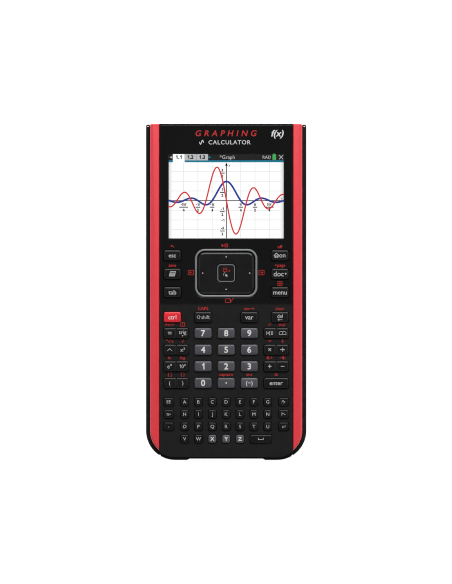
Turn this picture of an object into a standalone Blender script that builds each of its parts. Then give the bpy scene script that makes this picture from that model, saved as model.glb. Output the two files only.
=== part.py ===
"""A graphing calculator lying on its back, with its slide cover stored underneath.

The plan is drawn in XY with the display towards +Y, and Z runs from the table up through the
keys. The origin is under the middle of the slide cover, on the surface that it rests on.
Lengths below are in millimetres, and mm() turns them into Blender's metres.
"""

import math

import bmesh
import bpy
from mathutils import Matrix

# Driving dimensions, millimetres
BODY_WIDTH = 85.9
BODY_TOP = 94.6
BODY_BOTTOM = -92.7
BODY_CORNER = 14.2
BODY_TOP_CORNER = 1.0
GAP = 0.3

# Heights, from the table up
COVER_FLOOR = 1.8
COVER_WALL_TOP = 13.0
REAR_OUTSIDE = 3.8
REAR_FLOOR_TOP = 5.4
PARTING = 13.1
SHELF_UNDER = 15.8
SHELF_TOP = 17.0
DECK_UNDER = 16.8
RAIL_SEAT = 16.4
FRONT = 18.2
BOARD_UNDER = 10.4
BOARD_TOP = 11.6
KEY_UNDER = 14.6
FLANGE_TOP = 15.4
KEY_TOP = 19.6

# Slide cover and the groove that it runs in
COVER_WALL = 2.0
COVER_TOP_END = 94.4
COVER_ROUND = 0.4
COVER_FOOT = ((1.3, 0.0), (0.4, 0.35), (0.0, 1.3))
COVER_SLOT = (1.0, 0.6)
COVER_NOTCH = 0.5
THUMB_RECESS = (41.6, 0.75)
DOCK_WINDOW = (22.0, 4.6, 11.2)
GROOVE_LOW = 10.0
GROOVE_HIGH = 11.8
GROOVE_DEPTH = 1.2
BEAD_REACH = 0.9
WALL = 2.4
REAR_FOOT = ((1.8, 0.0), (0.5, 0.6), (0.0, 1.9))

# Front casing, and the rails along its sides
FRONT_INSET = 3.0
HOLLOW_REACH = 36.5
RIM = 0.5
RAIL_INNER = 37.45
RAIL_THICK = 1.5
RAIL_ROUND = 1.4
RAIL_EDGE = 0.5
DECK_LIP = 0.5

# Keypad
KEY = (9.6, 5.7)
WIDE_KEY = (13.9, 5.7)
KEY_CORNER = 1.0
OPENING_CORNER = 0.6
KEY_BEVEL = 0.5
KEY_FLANGE = 0.9
NUMBER_PITCH = 13.0
KEY_EDGE = 35.1
SHIFT_ROW = -14.3
NUMBER_ROW_FIRST = -23.3
NUMBER_ROW_PITCH = 9.35
TOP_ROW_FIRST = 20.5
TOP_ROW_PITCH = 10.4
LETTER = 4.4
LETTER_PITCH = 7.8
LETTER_SIDE_WIDTH = 5.5
LETTER_BEVEL = 0.4
LETTER_ROW_FIRST = -62.0
LETTER_ROW_PITCH = 6.95
LETTER_TOP = 19.2
LETTER_COLUMNS = 7
STRIP_DEPTH = 6.0
STRIP_MARGIN = 0.6
ROCKER_PIVOT = 17.0
CREASE = 0.5
MEMBRANE_TOP = 12.7
DOME_TOP = 13.3
DOME_RADII = (1.9, 1.1)

# Display and touchpad
PANEL_SPLIT = -7.1
DISPLAY = (64.8, 47.7)
DISPLAY_Y = 53.9
PANEL = (68.8, 51.7)
PANEL_UNDER = 14.3
TRAY = (72.0, 55.4)
TRAY_HEIGHTS = (12.1, 15.2)
PAD_Y = 10.5
PAD_RING = (35.2, 27.2)
PAD_RING_WIDTH = 1.25
PAD_CORNER = 5.5
RING_TOP = 18.7
PAD_UNDER = 15.2
PAD_TOP = 18.3
PAD_PIVOT = 16.4
PAD_BUTTON = 10.7
BUTTON_TOP = 18.5
CARRIER = (34.0, 26.0)
CARRIER_HEIGHTS = (13.0, 14.1)

# Fixings, battery and connectors
SCREWS = {
    "top_left": (-35.4, 88.4),
    "top_right": (35.4, 88.4),
    "bottom_left": (-30.0, -86.6),
    "bottom_right": (30.0, -86.6),
}
BOSS_RADIUS = 3.0
SHANK_BORE = 1.3
BOARD_BORE = 1.4
HEAD_BORE = (2.3, 6.2)
SCREW_HEAD = (4.4, 5.8)
SCREW_TIP = 14.6
SOCKET_RADIUS = 0.8
SOCKET_TOP = 5.1
BATTERY = (52.0, 38.0)
BATTERY_Y = -52.0
DOOR = (58.0, 46.0)
DOOR_FRAME = (62.0, 50.0)
DOOR_FRAME_TOP = 6.8
DOOR_SCREW_Y = -31.4
DOOR_BOSS = (2.6, 9.4)
DOOR_SCREW_TIP = 8.4
FOOT_PLACES = [(x, y) for x in (-33.0, 33.0) for y in (-14.0, 76.0)]
FOOT_RADIUS = 3.6
FOOT_HEIGHT = 0.9
RESET = (24.0, 22.0)
RESET_HEIGHTS = (4.3, 9.8)
RESET_BORE = 1.2
CAN = (28.0, 24.0)
CAN_AT = (-12.0, 48.0)
CAN_UNDER = 8.2
USB = (7.7, 3.9)
USB_WINDOW = (5.9, 10.4)
SHEET = 0.4
DOCK_WIDTH = 19.0
DOCK_HEIGHTS = (6.3, 9.5)
DOCK_CONTACTS = 8

SCALE = 0.001


def mm(*lengths):
    """Millimetres as metres: one number for one length, and a tuple for several."""
    scaled = tuple(length * SCALE for length in lengths)
    return scaled[0] if len(scaled) == 1 else scaled


# Outlines: lists of (x, y) in millimetres, counter-clockwise


def arc(centre, radius, first, last, steps):
    """Points along an arc from first to last degrees."""
    turns = [math.radians(first + (last - first) * i / steps) for i in range(steps + 1)]
    return [(centre[0] + radius * math.cos(t), centre[1] + radius * math.sin(t)) for t in turns]


def rounded_box(size, radius, centre=(0.0, 0.0), steps=2):
    """A rectangle with round corners."""
    half_x, half_y = size[0] / 2 - radius, size[1] / 2 - radius
    corners = ((half_x, -half_y, -90), (half_x, half_y, 0), (-half_x, half_y, 90), (-half_x, -half_y, 180))
    points = []
    for x, y, first in corners:
        points += arc((centre[0] + x, centre[1] + y), radius, first, first + 90, steps)
    return points


def circle(radius, centre=(0.0, 0.0), sides=12):
    return arc(centre, radius, 0, 360 * (sides - 1) / sides, sides - 1)


def clipped(outline, reach):
    """The part of a convex outline between x = -reach and x = reach."""
    for side in (1, -1):
        kept = []
        for (x, y), (next_x, next_y) in zip(outline, outline[1:] + outline[:1]):
            if side * x <= reach:
                kept.append((x, y))
            if (side * x - reach) * (side * next_x - reach) < 0:
                share = (side * reach - x) / (next_x - x)
                kept.append((side * reach, y + share * (next_y - y)))
        outline = kept
    return outline


def body_outline(inset, top=None):
    """The handheld's outline pulled in by inset. Its upper end is at top where that is given."""
    radius = BODY_CORNER - inset
    half = BODY_WIDTH / 2 - inset
    x, y = BODY_WIDTH / 2 - BODY_CORNER, BODY_BOTTOM + BODY_CORNER
    points = arc((-x, y), radius, 180, 270, 8) + arc((x, y), radius, 270, 360, 8)
    small = max(BODY_TOP_CORNER - max(inset, 0), 0.2)
    end = (BODY_TOP - inset if top is None else top) - small
    return points + arc((half - small, end), small, 0, 90, 2) + arc((-half + small, end), small, 90, 180, 2)


def rail_outline(inset, inner):
    """The right-hand rail in plan: the part of the body's outline beyond x = inner. Its upper end is
    pulled in by only a quarter of inset, so that the end stays square."""
    radius = BODY_CORNER - inset
    x, y = BODY_WIDTH / 2 - BODY_CORNER, BODY_BOTTOM + BODY_CORNER
    tip = math.degrees(math.acos((inner - x) / radius))
    small = max(BODY_TOP_CORNER - inset, 0.2)
    end = BODY_TOP - inset / 4
    corner = arc((BODY_WIDTH / 2 - inset - small, end - small), small, 0, 90, 2)
    return arc((x, y), radius, -tip, 0, 8) + corner + [(inner, end)]


# Solids


def loft(rings):
    """A closed mesh through rings, each (outline, z), from the lowest up. All have as many points."""
    mesh = bmesh.new()
    layers = [[mesh.verts.new(mm(x, y, z)) for x, y in outline] for outline, z in rings]
    for low, high in zip(layers, layers[1:]):
        for i, vert in enumerate(low):
            j = (i + 1) % len(low)
            mesh.faces.new((vert, low[j], high[j], high[i]))
    mesh.faces.new(list(reversed(layers[0])))
    mesh.faces.new(layers[-1])
    return mesh


def prism(outline, low, high):
    return loft([(outline, low), (outline, high)])


def block(x, y, z):
    """A box between two values of each of x, y and z."""
    return prism([(x[0], y[0]), (x[1], y[0]), (x[1], y[1]), (x[0], y[1])], *z)


def joined(meshes):
    """Several separate meshes as one."""
    whole = bmesh.new()
    for part in meshes:
        held = bpy.data.meshes.new("held")
        part.to_mesh(held)
        part.free()
        whole.from_mesh(held)
        bpy.data.meshes.remove(held)
    return whole


def mirrored(mesh):
    """The same mesh on the other side of x = 0."""
    bmesh.ops.transform(mesh, matrix=Matrix.Scale(-1, 4, (1, 0, 0)), verts=mesh.verts)
    bmesh.ops.reverse_faces(mesh, faces=mesh.faces)
    return mesh


def make(name, mesh, material, origin=(0.0, 0.0, 0.0), smooth=True):
    """An object from a mesh drawn in the shared frame, with its own origin at the given point."""
    place = Matrix.Translation(mm(*origin))
    bmesh.ops.transform(mesh, matrix=place.inverted(), verts=mesh.verts)
    data = bpy.data.meshes.new(name)
    mesh.to_mesh(data)
    mesh.free()
    data.materials.append(material)
    made = bpy.data.objects.new(name, data)
    made.matrix_world = place
    bpy.context.scene.collection.objects.link(made)
    if smooth:
        data.shade_smooth()
        data.set_sharp_from_angle(angle=math.radians(30))
    return made


def combine(target, mesh, operation):
    """Adds to or takes from the target with a hidden helper made from the mesh."""
    helper = make(target.name + "_helper", mesh, target.data.materials[0], smooth=False)
    helper.hide_render = True
    helper.display_type = "WIRE"
    step = target.modifiers.new(operation.lower(), "BOOLEAN")
    step.operation = operation
    step.solver = "EXACT"
    step.object = helper
    return helper


def cut(target, mesh):
    return combine(target, mesh, "DIFFERENCE")


def add(target, mesh):
    return combine(target, mesh, "UNION")


# Materials


def plastic(name, colour, roughness, metallic=0.0):
    made = bpy.data.materials.new(name)
    made.use_nodes = True
    shader = made.node_tree.nodes["Principled BSDF"]
    shader.inputs["Base Color"].default_value = (*colour, 1.0)
    shader.inputs["Roughness"].default_value = roughness
    shader.inputs["Metallic"].default_value = metallic
    return made


def palette():
    """Every material of the calculator, by what it is."""
    clear = plastic("clear", (0.9, 0.93, 0.95), 0.05)
    clear.node_tree.nodes["Principled BSDF"].inputs["Transmission Weight"].default_value = 1.0
    return {
        "clear": clear,
        "shell": plastic("shell", (0.018, 0.018, 0.018), 0.55),
        "gloss": plastic("gloss", (0.009, 0.009, 0.009), 0.18),
        "rail": plastic("rail", (0.65, 0.05, 0.055), 0.3),
        "key": plastic("key", (0.02, 0.02, 0.02), 0.4),
        "number": plastic("number", (0.085, 0.085, 0.1), 0.42),
        "control": plastic("control", (0.78, 0.02, 0.035), 0.35),
        "trim": plastic("trim", (0.55, 0.56, 0.58), 0.3, 1.0),
        "screen": plastic("screen", (0.8, 0.82, 0.85), 0.2),
        "frame": plastic("frame", (0.7, 0.7, 0.68), 0.4, 1.0),
        "board": plastic("board", (0.02, 0.16, 0.06), 0.35),
        "rubber": plastic("rubber", (0.1, 0.1, 0.11), 0.8),
        "steel": plastic("steel", (0.5, 0.5, 0.5), 0.3, 1.0),
        "cell": plastic("cell", (0.05, 0.12, 0.3), 0.5),
        "cover": plastic("cover", (0.016, 0.016, 0.017), 0.5),
    }


# Keypad layout


def upper_keys():
    """The six keys beside the touchpad: name to centre."""
    x = KEY_EDGE - KEY[0] / 2
    rows = [TOP_ROW_FIRST - TOP_ROW_PITCH * i for i in range(3)]
    left = {name: (-x, y) for name, y in zip(("key_esc", "key_notepad", "key_tab"), rows)}
    right = {name: (x, y) for name, y in zip(("key_on", "key_doc", "key_menu"), rows)}
    return {**left, **right}


def row_y(row):
    """The centre of a row of the main block. Row 0 holds the shift key, and row 1 the first numbers."""
    return NUMBER_ROW_FIRST - NUMBER_ROW_PITCH * (row - 1) if row else SHIFT_ROW


def lower_keys():
    """The standard keys of the main block: name to centre."""
    side = KEY_EDGE - KEY[0] / 2
    keys = {"key_ctrl": (-side, row_y(0)), "key_shift": (-NUMBER_PITCH, row_y(0))}
    keys.update({"key_var": (NUMBER_PITCH, row_y(0)), "key_del": (side, row_y(0))})
    rows = (("7", "8", "9"), ("4", "5", "6"), ("1", "2", "3"), ("0", "point", "negate"))
    for row, names in enumerate(rows, 1):
        for column, name in enumerate(names, -1):
            keys["key_" + name] = (column * NUMBER_PITCH, row_y(row))
    return keys


def rockers():
    """The wide keys that tip to either side: name to centre."""
    x = KEY_EDGE - WIDE_KEY[0] / 2
    left = ("rocker_equals_trig", "rocker_power_square", "rocker_exp_ten", "rocker_brackets")
    right = ("rocker_template_book", "rocker_times_divide", "rocker_plus_minus")
    places = {name: (-x, row_y(row)) for row, name in enumerate(left, 1)}
    places.update({name: (x, row_y(row)) for row, name in enumerate(right, 1)})
    return places


def enter_key():
    return KEY_EDGE - WIDE_KEY[0] / 2, row_y(4)


def letter_rows():
    """Each row of small keys: its y, and the (centre x, width) of each key."""
    reach = LETTER_COLUMNS // 2
    columns = [(i * LETTER_PITCH, LETTER) for i in range(-reach, reach + 1)]
    side = KEY_EDGE - LETTER_SIDE_WIDTH / 2
    full = [(-side, LETTER_SIDE_WIDTH)] + columns + [(side, LETTER_SIDE_WIDTH)]
    space = (LETTER_PITCH * (reach - 0.5), LETTER_PITCH + LETTER)
    rows = [full, full, full, columns[:5] + [space]]
    return [(LETTER_ROW_FIRST - LETTER_ROW_PITCH * i, keys) for i, keys in enumerate(rows)]


def key_opening(centre, size, low, high):
    """A cutter that lets a key of the size through, with clearance all round."""
    wide = (size[0] + 2 * GAP, size[1] + 2 * GAP)
    return prism(rounded_box(wide, OPENING_CORNER, centre, 1), low, high)


# Casings


def front_hollows(low):
    """Cutters for the inside of the front casing: under the rails, the key deck and the display's shelf."""
    keypad = clipped(body_outline(FRONT_INSET + 0.2, PANEL_SPLIT), HOLLOW_REACH)
    display = (PANEL_SPLIT - 1, BODY_TOP - FRONT_INSET)
    return [
        prism(body_outline(FRONT_INSET), low, RAIL_SEAT - 1.2),
        prism(keypad, low, DECK_UNDER),
        block((-HOLLOW_REACH, HOLLOW_REACH), display, (low, SHELF_UNDER)),
    ]


def front_openings():
    """Cutters for every hole through the front casing."""
    standard = [*upper_keys().values(), *lower_keys().values()]
    openings = [key_opening(at, KEY, SHELF_UNDER - 1, FRONT + 1) for at in standard]
    wide = [*rockers().values(), enter_key()]
    openings += [key_opening(at, WIDE_KEY, DECK_UNDER - 1, FRONT + 1) for at in wide]
    for y, keys in letter_rows():
        openings += [key_opening((x, y), (width, LETTER), DECK_UNDER - 1, FRONT + 1) for x, width in keys]
    openings.append(prism(rounded_box(pad_size(-0.5), PAD_CORNER - 1, (0, PAD_Y)), SHELF_UNDER - 1, FRONT))
    window = (DISPLAY[0] + 1, DISPLAY[1] + 1)
    openings.append(prism(rounded_box(window, 0.5, (0, DISPLAY_Y), 1), SHELF_UNDER - 1, FRONT))
    return joined(openings)


def make_front_shell(mats):
    """The front casing: side walls, the deck that the keys come through and the display's shelf."""
    low = PARTING + GAP
    deck = clipped(body_outline(-DECK_LIP, BODY_TOP), RAIL_INNER - GAP)
    shell = make("front_shell", prism(deck, low, FRONT), mats["shell"])
    add(shell, prism(body_outline(RAIL_THICK + GAP), low, RAIL_SEAT))
    for hollow in front_hollows(low - 1):
        cut(shell, hollow)
    cut(shell, block((-60, 60), (PANEL_SPLIT, BODY_TOP - RIM), (SHELF_TOP, FRONT + 2)))
    roof = {at: SHELF_UNDER if at[1] > 0 else DECK_UNDER for at in SCREWS.values()}
    bosses = [prism(circle(BOSS_RADIUS, at), BOARD_TOP + GAP, top + 0.4) for at, top in roof.items()]
    add(shell, joined(bosses))
    cut(shell, joined([prism(circle(SHANK_BORE, at), BOARD_TOP, top - 0.6) for at, top in roof.items()]))
    cut(shell, front_openings())
    return shell


def make_faceplate(mats):
    """The glossy plate round the display, the touchpad and the six upper keys."""
    edge = RAIL_INNER - GAP
    plate = make(
        "faceplate",
        block((-edge, edge), (PANEL_SPLIT + GAP, BODY_TOP - RIM - GAP), (SHELF_TOP + GAP, FRONT)),
        mats["gloss"],
    )
    openings = [key_opening(at, KEY, SHELF_TOP, FRONT + 1) for at in upper_keys().values()]
    ring = (PAD_RING[0] + 2 * GAP, PAD_RING[1] + 2 * GAP)
    openings.append(prism(rounded_box(ring, PAD_CORNER + GAP, (0, PAD_Y), 5), SHELF_TOP, FRONT + 1))
    window = (DISPLAY[0] + GAP, DISPLAY[1] + GAP)
    openings.append(prism(rounded_box(window, 0.6, (0, DISPLAY_Y), 1), SHELF_TOP, FRONT + 1))
    cut(plate, joined(openings))
    return plate


def make_rail(side, mats):
    """A coloured rail that covers one long edge of the front casing."""
    low = PARTING + GAP
    rings = [(rail_outline(0, RAIL_INNER), low)]
    for degrees, edge in ((0, 0), (45, 0), (90, RAIL_EDGE)):
        turn = math.radians(degrees)
        inset, rise = RAIL_ROUND * (1 - math.cos(turn)), RAIL_ROUND * math.sin(turn)
        rings.append((rail_outline(inset, RAIL_INNER + edge), FRONT - RAIL_ROUND + rise))
    mesh = loft(rings)
    rail = make("side_rail_" + side, mirrored(mesh) if side == "left" else mesh, mats["rail"])
    cut(rail, prism(body_outline(RAIL_THICK), low - 1, RAIL_SEAT + GAP))
    return rail


def make_rear_shell(mats):
    """The rear casing: a tub with a groove along each side for the cover, and the battery's opening."""
    rings = [(body_outline(inset), REAR_OUTSIDE + rise) for inset, rise in REAR_FOOT]
    shell = make("rear_shell", loft([*rings, (body_outline(0), PARTING)]), mats["shell"])
    cut(shell, prism(body_outline(WALL), REAR_FLOOR_TOP, PARTING + 1))
    half = BODY_WIDTH / 2
    for side in (1, -1):
        groove = sorted((side * (half - GROOVE_DEPTH), side * (half + 5)))
        cut(shell, block(groove, (-110, BODY_TOP - WALL), (GROOVE_LOW, GROOVE_HIGH)))
    bosses = [prism(circle(BOSS_RADIUS, at), REAR_OUTSIDE + 0.7, BOARD_UNDER - GAP) for at in SCREWS.values()]
    add(shell, joined(bosses))
    add(shell, prism(rounded_box(DOOR_FRAME, 3, (0, BATTERY_Y)), REAR_OUTSIDE + 0.8, DOOR_FRAME_TOP))
    radius, top = DOOR_BOSS
    add(shell, prism(circle(radius, (0, DOOR_SCREW_Y)), REAR_OUTSIDE + 0.9, top))
    well = (BATTERY[0] + 2, BATTERY[1] + 1)
    cut(shell, prism(rounded_box(DOOR, 2, (0, BATTERY_Y)), REAR_OUTSIDE - 1, REAR_FLOOR_TOP + 0.1))
    cut(shell, prism(rounded_box(well, 1, (0, BATTERY_Y - 1)), REAR_OUTSIDE - 1, 12))
    radius, top = HEAD_BORE
    cut(shell, joined([prism(circle(radius, at), REAR_OUTSIDE - 1, top) for at in SCREWS.values()]))
    bores = [prism(circle(SHANK_BORE, at), REAR_OUTSIDE - 1, BOARD_UNDER + 1) for at in SCREWS.values()]
    bores.append(prism(circle(SHANK_BORE, (0, DOOR_SCREW_Y)), REAR_OUTSIDE - 1, DOOR_SCREW_TIP + 0.4))
    bores.append(prism(circle(RESET_BORE, RESET), REAR_OUTSIDE - 1, REAR_FLOOR_TOP + 1))
    bores.append(block((-USB[0] / 2 - GAP, USB[0] / 2 + GAP), (BODY_TOP - 4, BODY_TOP + 2), USB_WINDOW))
    heights = (DOCK_HEIGHTS[0] - GAP, DOCK_HEIGHTS[1] + GAP)
    bores.append(block((-DOCK_WIDTH / 2, DOCK_WIDTH / 2), (BODY_BOTTOM - 2, BODY_BOTTOM + 4), heights))
    cut(shell, joined(bores))
    foot_low = REAR_OUTSIDE - FOOT_HEIGHT
    feet = [prism(circle(FOOT_RADIUS, at), foot_low, REAR_FLOOR_TOP - 0.4) for at in FOOT_PLACES]
    add(shell, joined(feet))
    return shell


def make_slide_cover(mats):
    """The hard cover, here on the back: a tray open at the display end, with a bead along each side."""
    wall = GAP + COVER_WALL
    rings = [*COVER_FOOT, (0.0, COVER_WALL_TOP - COVER_ROUND), (COVER_ROUND, COVER_WALL_TOP)]
    shape = [(body_outline(inset - wall, COVER_TOP_END - inset), z) for inset, z in rings]
    cover = make("slide_cover", loft(shape), mats["cover"])
    cut(cover, prism(body_outline(-GAP, BODY_TOP + 5), COVER_FLOOR, COVER_WALL_TOP + 1))
    half = BODY_WIDTH / 2
    low = BODY_BOTTOM + BODY_CORNER + 2
    bead = ((half + GAP - BEAD_REACH, half + 1), (low, BODY_TOP - 3.2), (GROOVE_LOW + GAP, GROOVE_HIGH - GAP))
    add(cover, block(*bead))
    add(cover, mirrored(block(*bead)))
    end = BODY_BOTTOM - wall
    width, depth = THUMB_RECESS
    cut(cover, block((-width / 2, width / 2), (end - 3, end + depth), (-1, COVER_WALL_TOP + 1)))
    width, *heights = DOCK_WINDOW
    cut(cover, block((-width / 2, width / 2), (end - 3, BODY_BOTTOM + 3), heights))
    radius = BODY_CORNER + wall
    x, y = half - BODY_CORNER, BODY_BOTTOM + BODY_CORNER
    drop = math.sqrt(radius**2 - (RAIL_INNER - x) ** 2)
    at = (half + GAP + COVER_WALL / 2, COVER_TOP_END - 0.9)
    slot = prism(rounded_box(COVER_SLOT, 0.25, at, 1), -1, 20)
    cut(cover, slot.copy())
    cut(cover, mirrored(slot))
    notch = prism(circle(COVER_NOTCH, (RAIL_INNER, y - drop), 4), -1, COVER_WALL_TOP + 1)
    cut(cover, joined([notch.copy(), mirrored(notch)]))
    return cover


# Display


def make_display(mats):
    """The clear window, the panel that shows the picture and the tray that lights it."""
    at = (0, DISPLAY_Y)
    window = (DISPLAY[0] - GAP, DISPLAY[1] - GAP)
    make("display_window", prism(rounded_box(window, 0.5, at, 1), SHELF_TOP + GAP, FRONT), mats["clear"])
    outline = rounded_box(PANEL, 0.5, at, 1)
    glass = make("lcd_panel", prism(outline, PANEL_UNDER, SHELF_UNDER - GAP), mats["screen"])
    add(glass, prism(rounded_box(DISPLAY, 0.4, at, 1), PANEL_UNDER + 0.7, SHELF_TOP))
    tray = make("backlight_tray", prism(rounded_box(TRAY, 1, at, 1), *TRAY_HEIGHTS), mats["frame"])
    pocket = (PANEL[0] + 2 * GAP, PANEL[1] + 2 * GAP)
    cut(tray, prism(rounded_box(pocket, 0.6, at, 1), PANEL_UNDER - GAP, 17))


# Keys


def key_mesh(centre, size, top, sunk=0.0):
    """A key cap on its retaining flange. sunk lowers the middle of the top a little."""
    flange = (size[0] + 2 * KEY_FLANGE, size[1] + 2 * KEY_FLANGE)
    face = (size[0] - 2 * KEY_BEVEL, size[1] - 2 * KEY_BEVEL)
    dish = (face[0] - 2.4, face[1] - 2.0)
    return loft([
        (rounded_box(flange, KEY_CORNER, centre), KEY_UNDER),
        (rounded_box(flange, KEY_CORNER, centre), FLANGE_TOP),
        (rounded_box(size, KEY_CORNER, centre), FLANGE_TOP),
        (rounded_box(size, KEY_CORNER, centre), top - KEY_BEVEL),
        (rounded_box(face, KEY_CORNER / 2, centre), top),
        (rounded_box(dish, KEY_CORNER / 2, centre), top - sunk),
    ])


def make_keys(mats):
    """Every key of the standard size, with its origin on the line that it travels along."""
    greys = {"key_" + name for name in (*map(str, range(10)), "point", "negate")}
    for name, at in {**upper_keys(), **lower_keys()}.items():
        kind = "number" if name in greys else "control" if name == "key_ctrl" else "key"
        make(name, key_mesh(at, KEY, KEY_TOP, 0.15), mats[kind], (*at, KEY_UNDER))
    at = enter_key()
    make("key_enter", key_mesh(at, WIDE_KEY, KEY_TOP, 0.15), mats["key"], (*at, KEY_UNDER))


def make_rockers(mats):
    """The wide caps that tip left and right, with a crease across the middle of each."""
    for name, at in rockers().items():
        cap = make(name, key_mesh(at, WIDE_KEY, KEY_TOP, 0.1), mats["key"], (*at, ROCKER_PIVOT))
        over = KEY_TOP + 0.1
        crease = [(at[0] - CREASE, over), (at[0], KEY_TOP - CREASE), (at[0] + CREASE, over)]
        wedge = prism(crease, -at[1] - 5, -at[1] + 5)
        bmesh.ops.transform(wedge, matrix=Matrix.Rotation(math.radians(90), 4, "X"), verts=wedge.verts)
        cut(cap, wedge)


def make_letter_strips(mats):
    """Four moulded strips that each carry a row of small caps."""
    for number, (y, keys) in enumerate(letter_rows(), 1):
        low = keys[0][0] - keys[0][1] / 2 - STRIP_MARGIN
        high = keys[-1][0] + keys[-1][1] / 2 + STRIP_MARGIN
        deep = STRIP_DEPTH / 2
        name = f"letter_keys_row_{number}"
        strip = make(name, block((low, high), (y - deep, y + deep), (KEY_UNDER, FLANGE_TOP)), mats["key"])
        caps = []
        for x, width in keys:
            size = (width, LETTER)
            face = (width - 2 * LETTER_BEVEL, LETTER - 2 * LETTER_BEVEL)
            caps.append(loft([
                (rounded_box(size, KEY_CORNER, (x, y), 1), FLANGE_TOP - 0.3),
                (rounded_box(size, KEY_CORNER, (x, y), 1), LETTER_TOP - LETTER_BEVEL),
                (rounded_box(face, KEY_CORNER * 0.6, (x, y), 1), LETTER_TOP),
            ]))
        add(strip, joined(caps))


# Touchpad


def pad_size(clearance):
    """The touchpad's own size, which the ring leaves room for."""
    reach = 2 * (PAD_RING_WIDTH + GAP + clearance)
    return PAD_RING[0] - reach, PAD_RING[1] - reach


def make_touchpad(mats):
    """The trim ring, the carrier that tips up and down, the plate that tips sideways and its button."""
    at = (0, PAD_Y)
    outer = prism(rounded_box(PAD_RING, PAD_CORNER, at, 5), SHELF_TOP + GAP, RING_TOP)
    ring = make("touchpad_ring", outer, mats["trim"])
    inner = (PAD_RING[0] - 2 * PAD_RING_WIDTH, PAD_RING[1] - 2 * PAD_RING_WIDTH)
    cut(ring, prism(rounded_box(inner, PAD_CORNER - PAD_RING_WIDTH, at, 5), SHELF_TOP, 20))
    mesh = prism(rounded_box(CARRIER, 3, at), *CARRIER_HEIGHTS)
    make("touchpad_carrier", mesh, mats["shell"], (*at, PAD_PIVOT))
    size, face = pad_size(0.1), pad_size(0.6)
    corner = PAD_CORNER - PAD_RING_WIDTH - GAP
    plate = make(
        "touchpad_plate",
        loft([
            (rounded_box(size, corner, at, 4), PAD_UNDER),
            (rounded_box(size, corner, at, 4), PAD_TOP - 0.4),
            (rounded_box(face, corner - 0.4, at, 4), PAD_TOP),
        ]),
        mats["gloss"],
        (*at, PAD_PIVOT),
    )
    cut(plate, prism(rounded_box((PAD_BUTTON, PAD_BUTTON), 2.2, at), PAD_UNDER - 1, PAD_TOP + 1))
    button = PAD_BUTTON - 2 * GAP
    face = button - 0.8
    make(
        "touchpad_button",
        loft([
            (rounded_box((button, button), 1.9, at), PAD_UNDER + 0.1),
            (rounded_box((button, button), 1.9, at), BUTTON_TOP - GAP),
            (rounded_box((face, face), 1.6, at), BUTTON_TOP),
        ]),
        mats["gloss"],
        (*at, PAD_UNDER),
    )


# Electronics, battery and fixings


def membrane_outline():
    """The rubber sheet's edge: a U round the touchpad, narrower at the last row of small keys."""
    right = [(26.5, -86.0), (26.5, -80.0), (36.2, -80.0), (36.2, 25.0), (20.5, 25.0), (20.5, PANEL_SPLIT + 1)]
    return right + [(-x, y) for x, y in reversed(right)]


def make_membrane(mats):
    """The rubber sheet under the keys, with a dome for each place that is pressed."""
    sheet = make("keypad_membrane", prism(membrane_outline(), BOARD_TOP + GAP, MEMBRANE_TOP), mats["rubber"])
    places = [*upper_keys().values(), *lower_keys().values(), enter_key()]
    places += [(x + side * WIDE_KEY[0] / 4, y) for x, y in rockers().values() for side in (-1, 1)]
    for y, keys in letter_rows():
        places += [(x, y) for x, _ in keys]
    foot, crown = DOME_RADII
    domes = [loft([(circle(foot, at, 6), MEMBRANE_TOP - 0.4), (circle(crown, at, 6), DOME_TOP)]) for at in places]
    add(sheet, joined(domes))


def make_electronics(mats):
    """The circuit board with its screening can and the two connectors."""
    board = make("main_board", prism(body_outline(WALL + 0.6), BOARD_UNDER, BOARD_TOP), mats["board"])
    cut(board, joined([prism(circle(BOARD_BORE, at), BOARD_UNDER - 1, BOARD_TOP + 1) for at in SCREWS.values()]))
    can = rounded_box(CAN, 1, CAN_AT)
    lid = rounded_box((CAN[0] - 1, CAN[1] - 1), 1, CAN_AT)
    rings = [(lid, CAN_UNDER), (can, CAN_UNDER + 0.4), (can, BOARD_UNDER - GAP)]
    make("shield_can", loft(rings), mats["steel"])
    half, high = USB[0] / 2, BOARD_UNDER - GAP
    low = high - USB[1]
    deep = (BODY_TOP - 9.4, BODY_TOP - 0.5)
    usb = make("usb_port", block((-half, half), deep, (low, high)), mats["steel"])
    mouth = (deep[0] + 2, deep[1] + 2)
    cut(usb, block((SHEET - half, half - SHEET), mouth, (low + SHEET, high - SHEET)))
    half = DOCK_WIDTH / 2 - GAP
    bar = block((-half, half), (BODY_BOTTOM + 0.4, BODY_BOTTOM + 4.4), DOCK_HEIGHTS)
    dock = make("dock_connector", bar, mats["frame"])
    depth = (BODY_BOTTOM - 1, BODY_BOTTOM + 1)
    heights = (DOCK_HEIGHTS[0] + 0.6, DOCK_HEIGHTS[1] - 0.6)
    places = [2 * i - DOCK_CONTACTS + 1 for i in range(DOCK_CONTACTS)]
    cut(dock, joined([block((x - 0.5, x + 0.5), depth, heights) for x in places]))


def make_battery(mats):
    """The flat cell and the door that closes its well from behind."""
    mesh = prism(rounded_box(BATTERY, 1.2, (0, BATTERY_Y - 1)), REAR_FLOOR_TOP + GAP, BOARD_UNDER - 0.5)
    make("battery", mesh, mats["cell"])
    size = (DOOR[0] - 2 * GAP, DOOR[1] - 2 * GAP)
    door = make(
        "battery_door",
        prism(rounded_box(size, 2 - GAP, (0, BATTERY_Y)), REAR_OUTSIDE, REAR_FLOOR_TOP - 0.2),
        mats["shell"],
    )
    cut(door, prism(circle(2.2, (0, DOOR_SCREW_Y)), REAR_OUTSIDE - 1, REAR_OUTSIDE + 0.9))
    cut(door, prism(circle(SHANK_BORE, (0, DOOR_SCREW_Y)), REAR_OUTSIDE - 1, REAR_FLOOR_TOP + 1))


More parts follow.
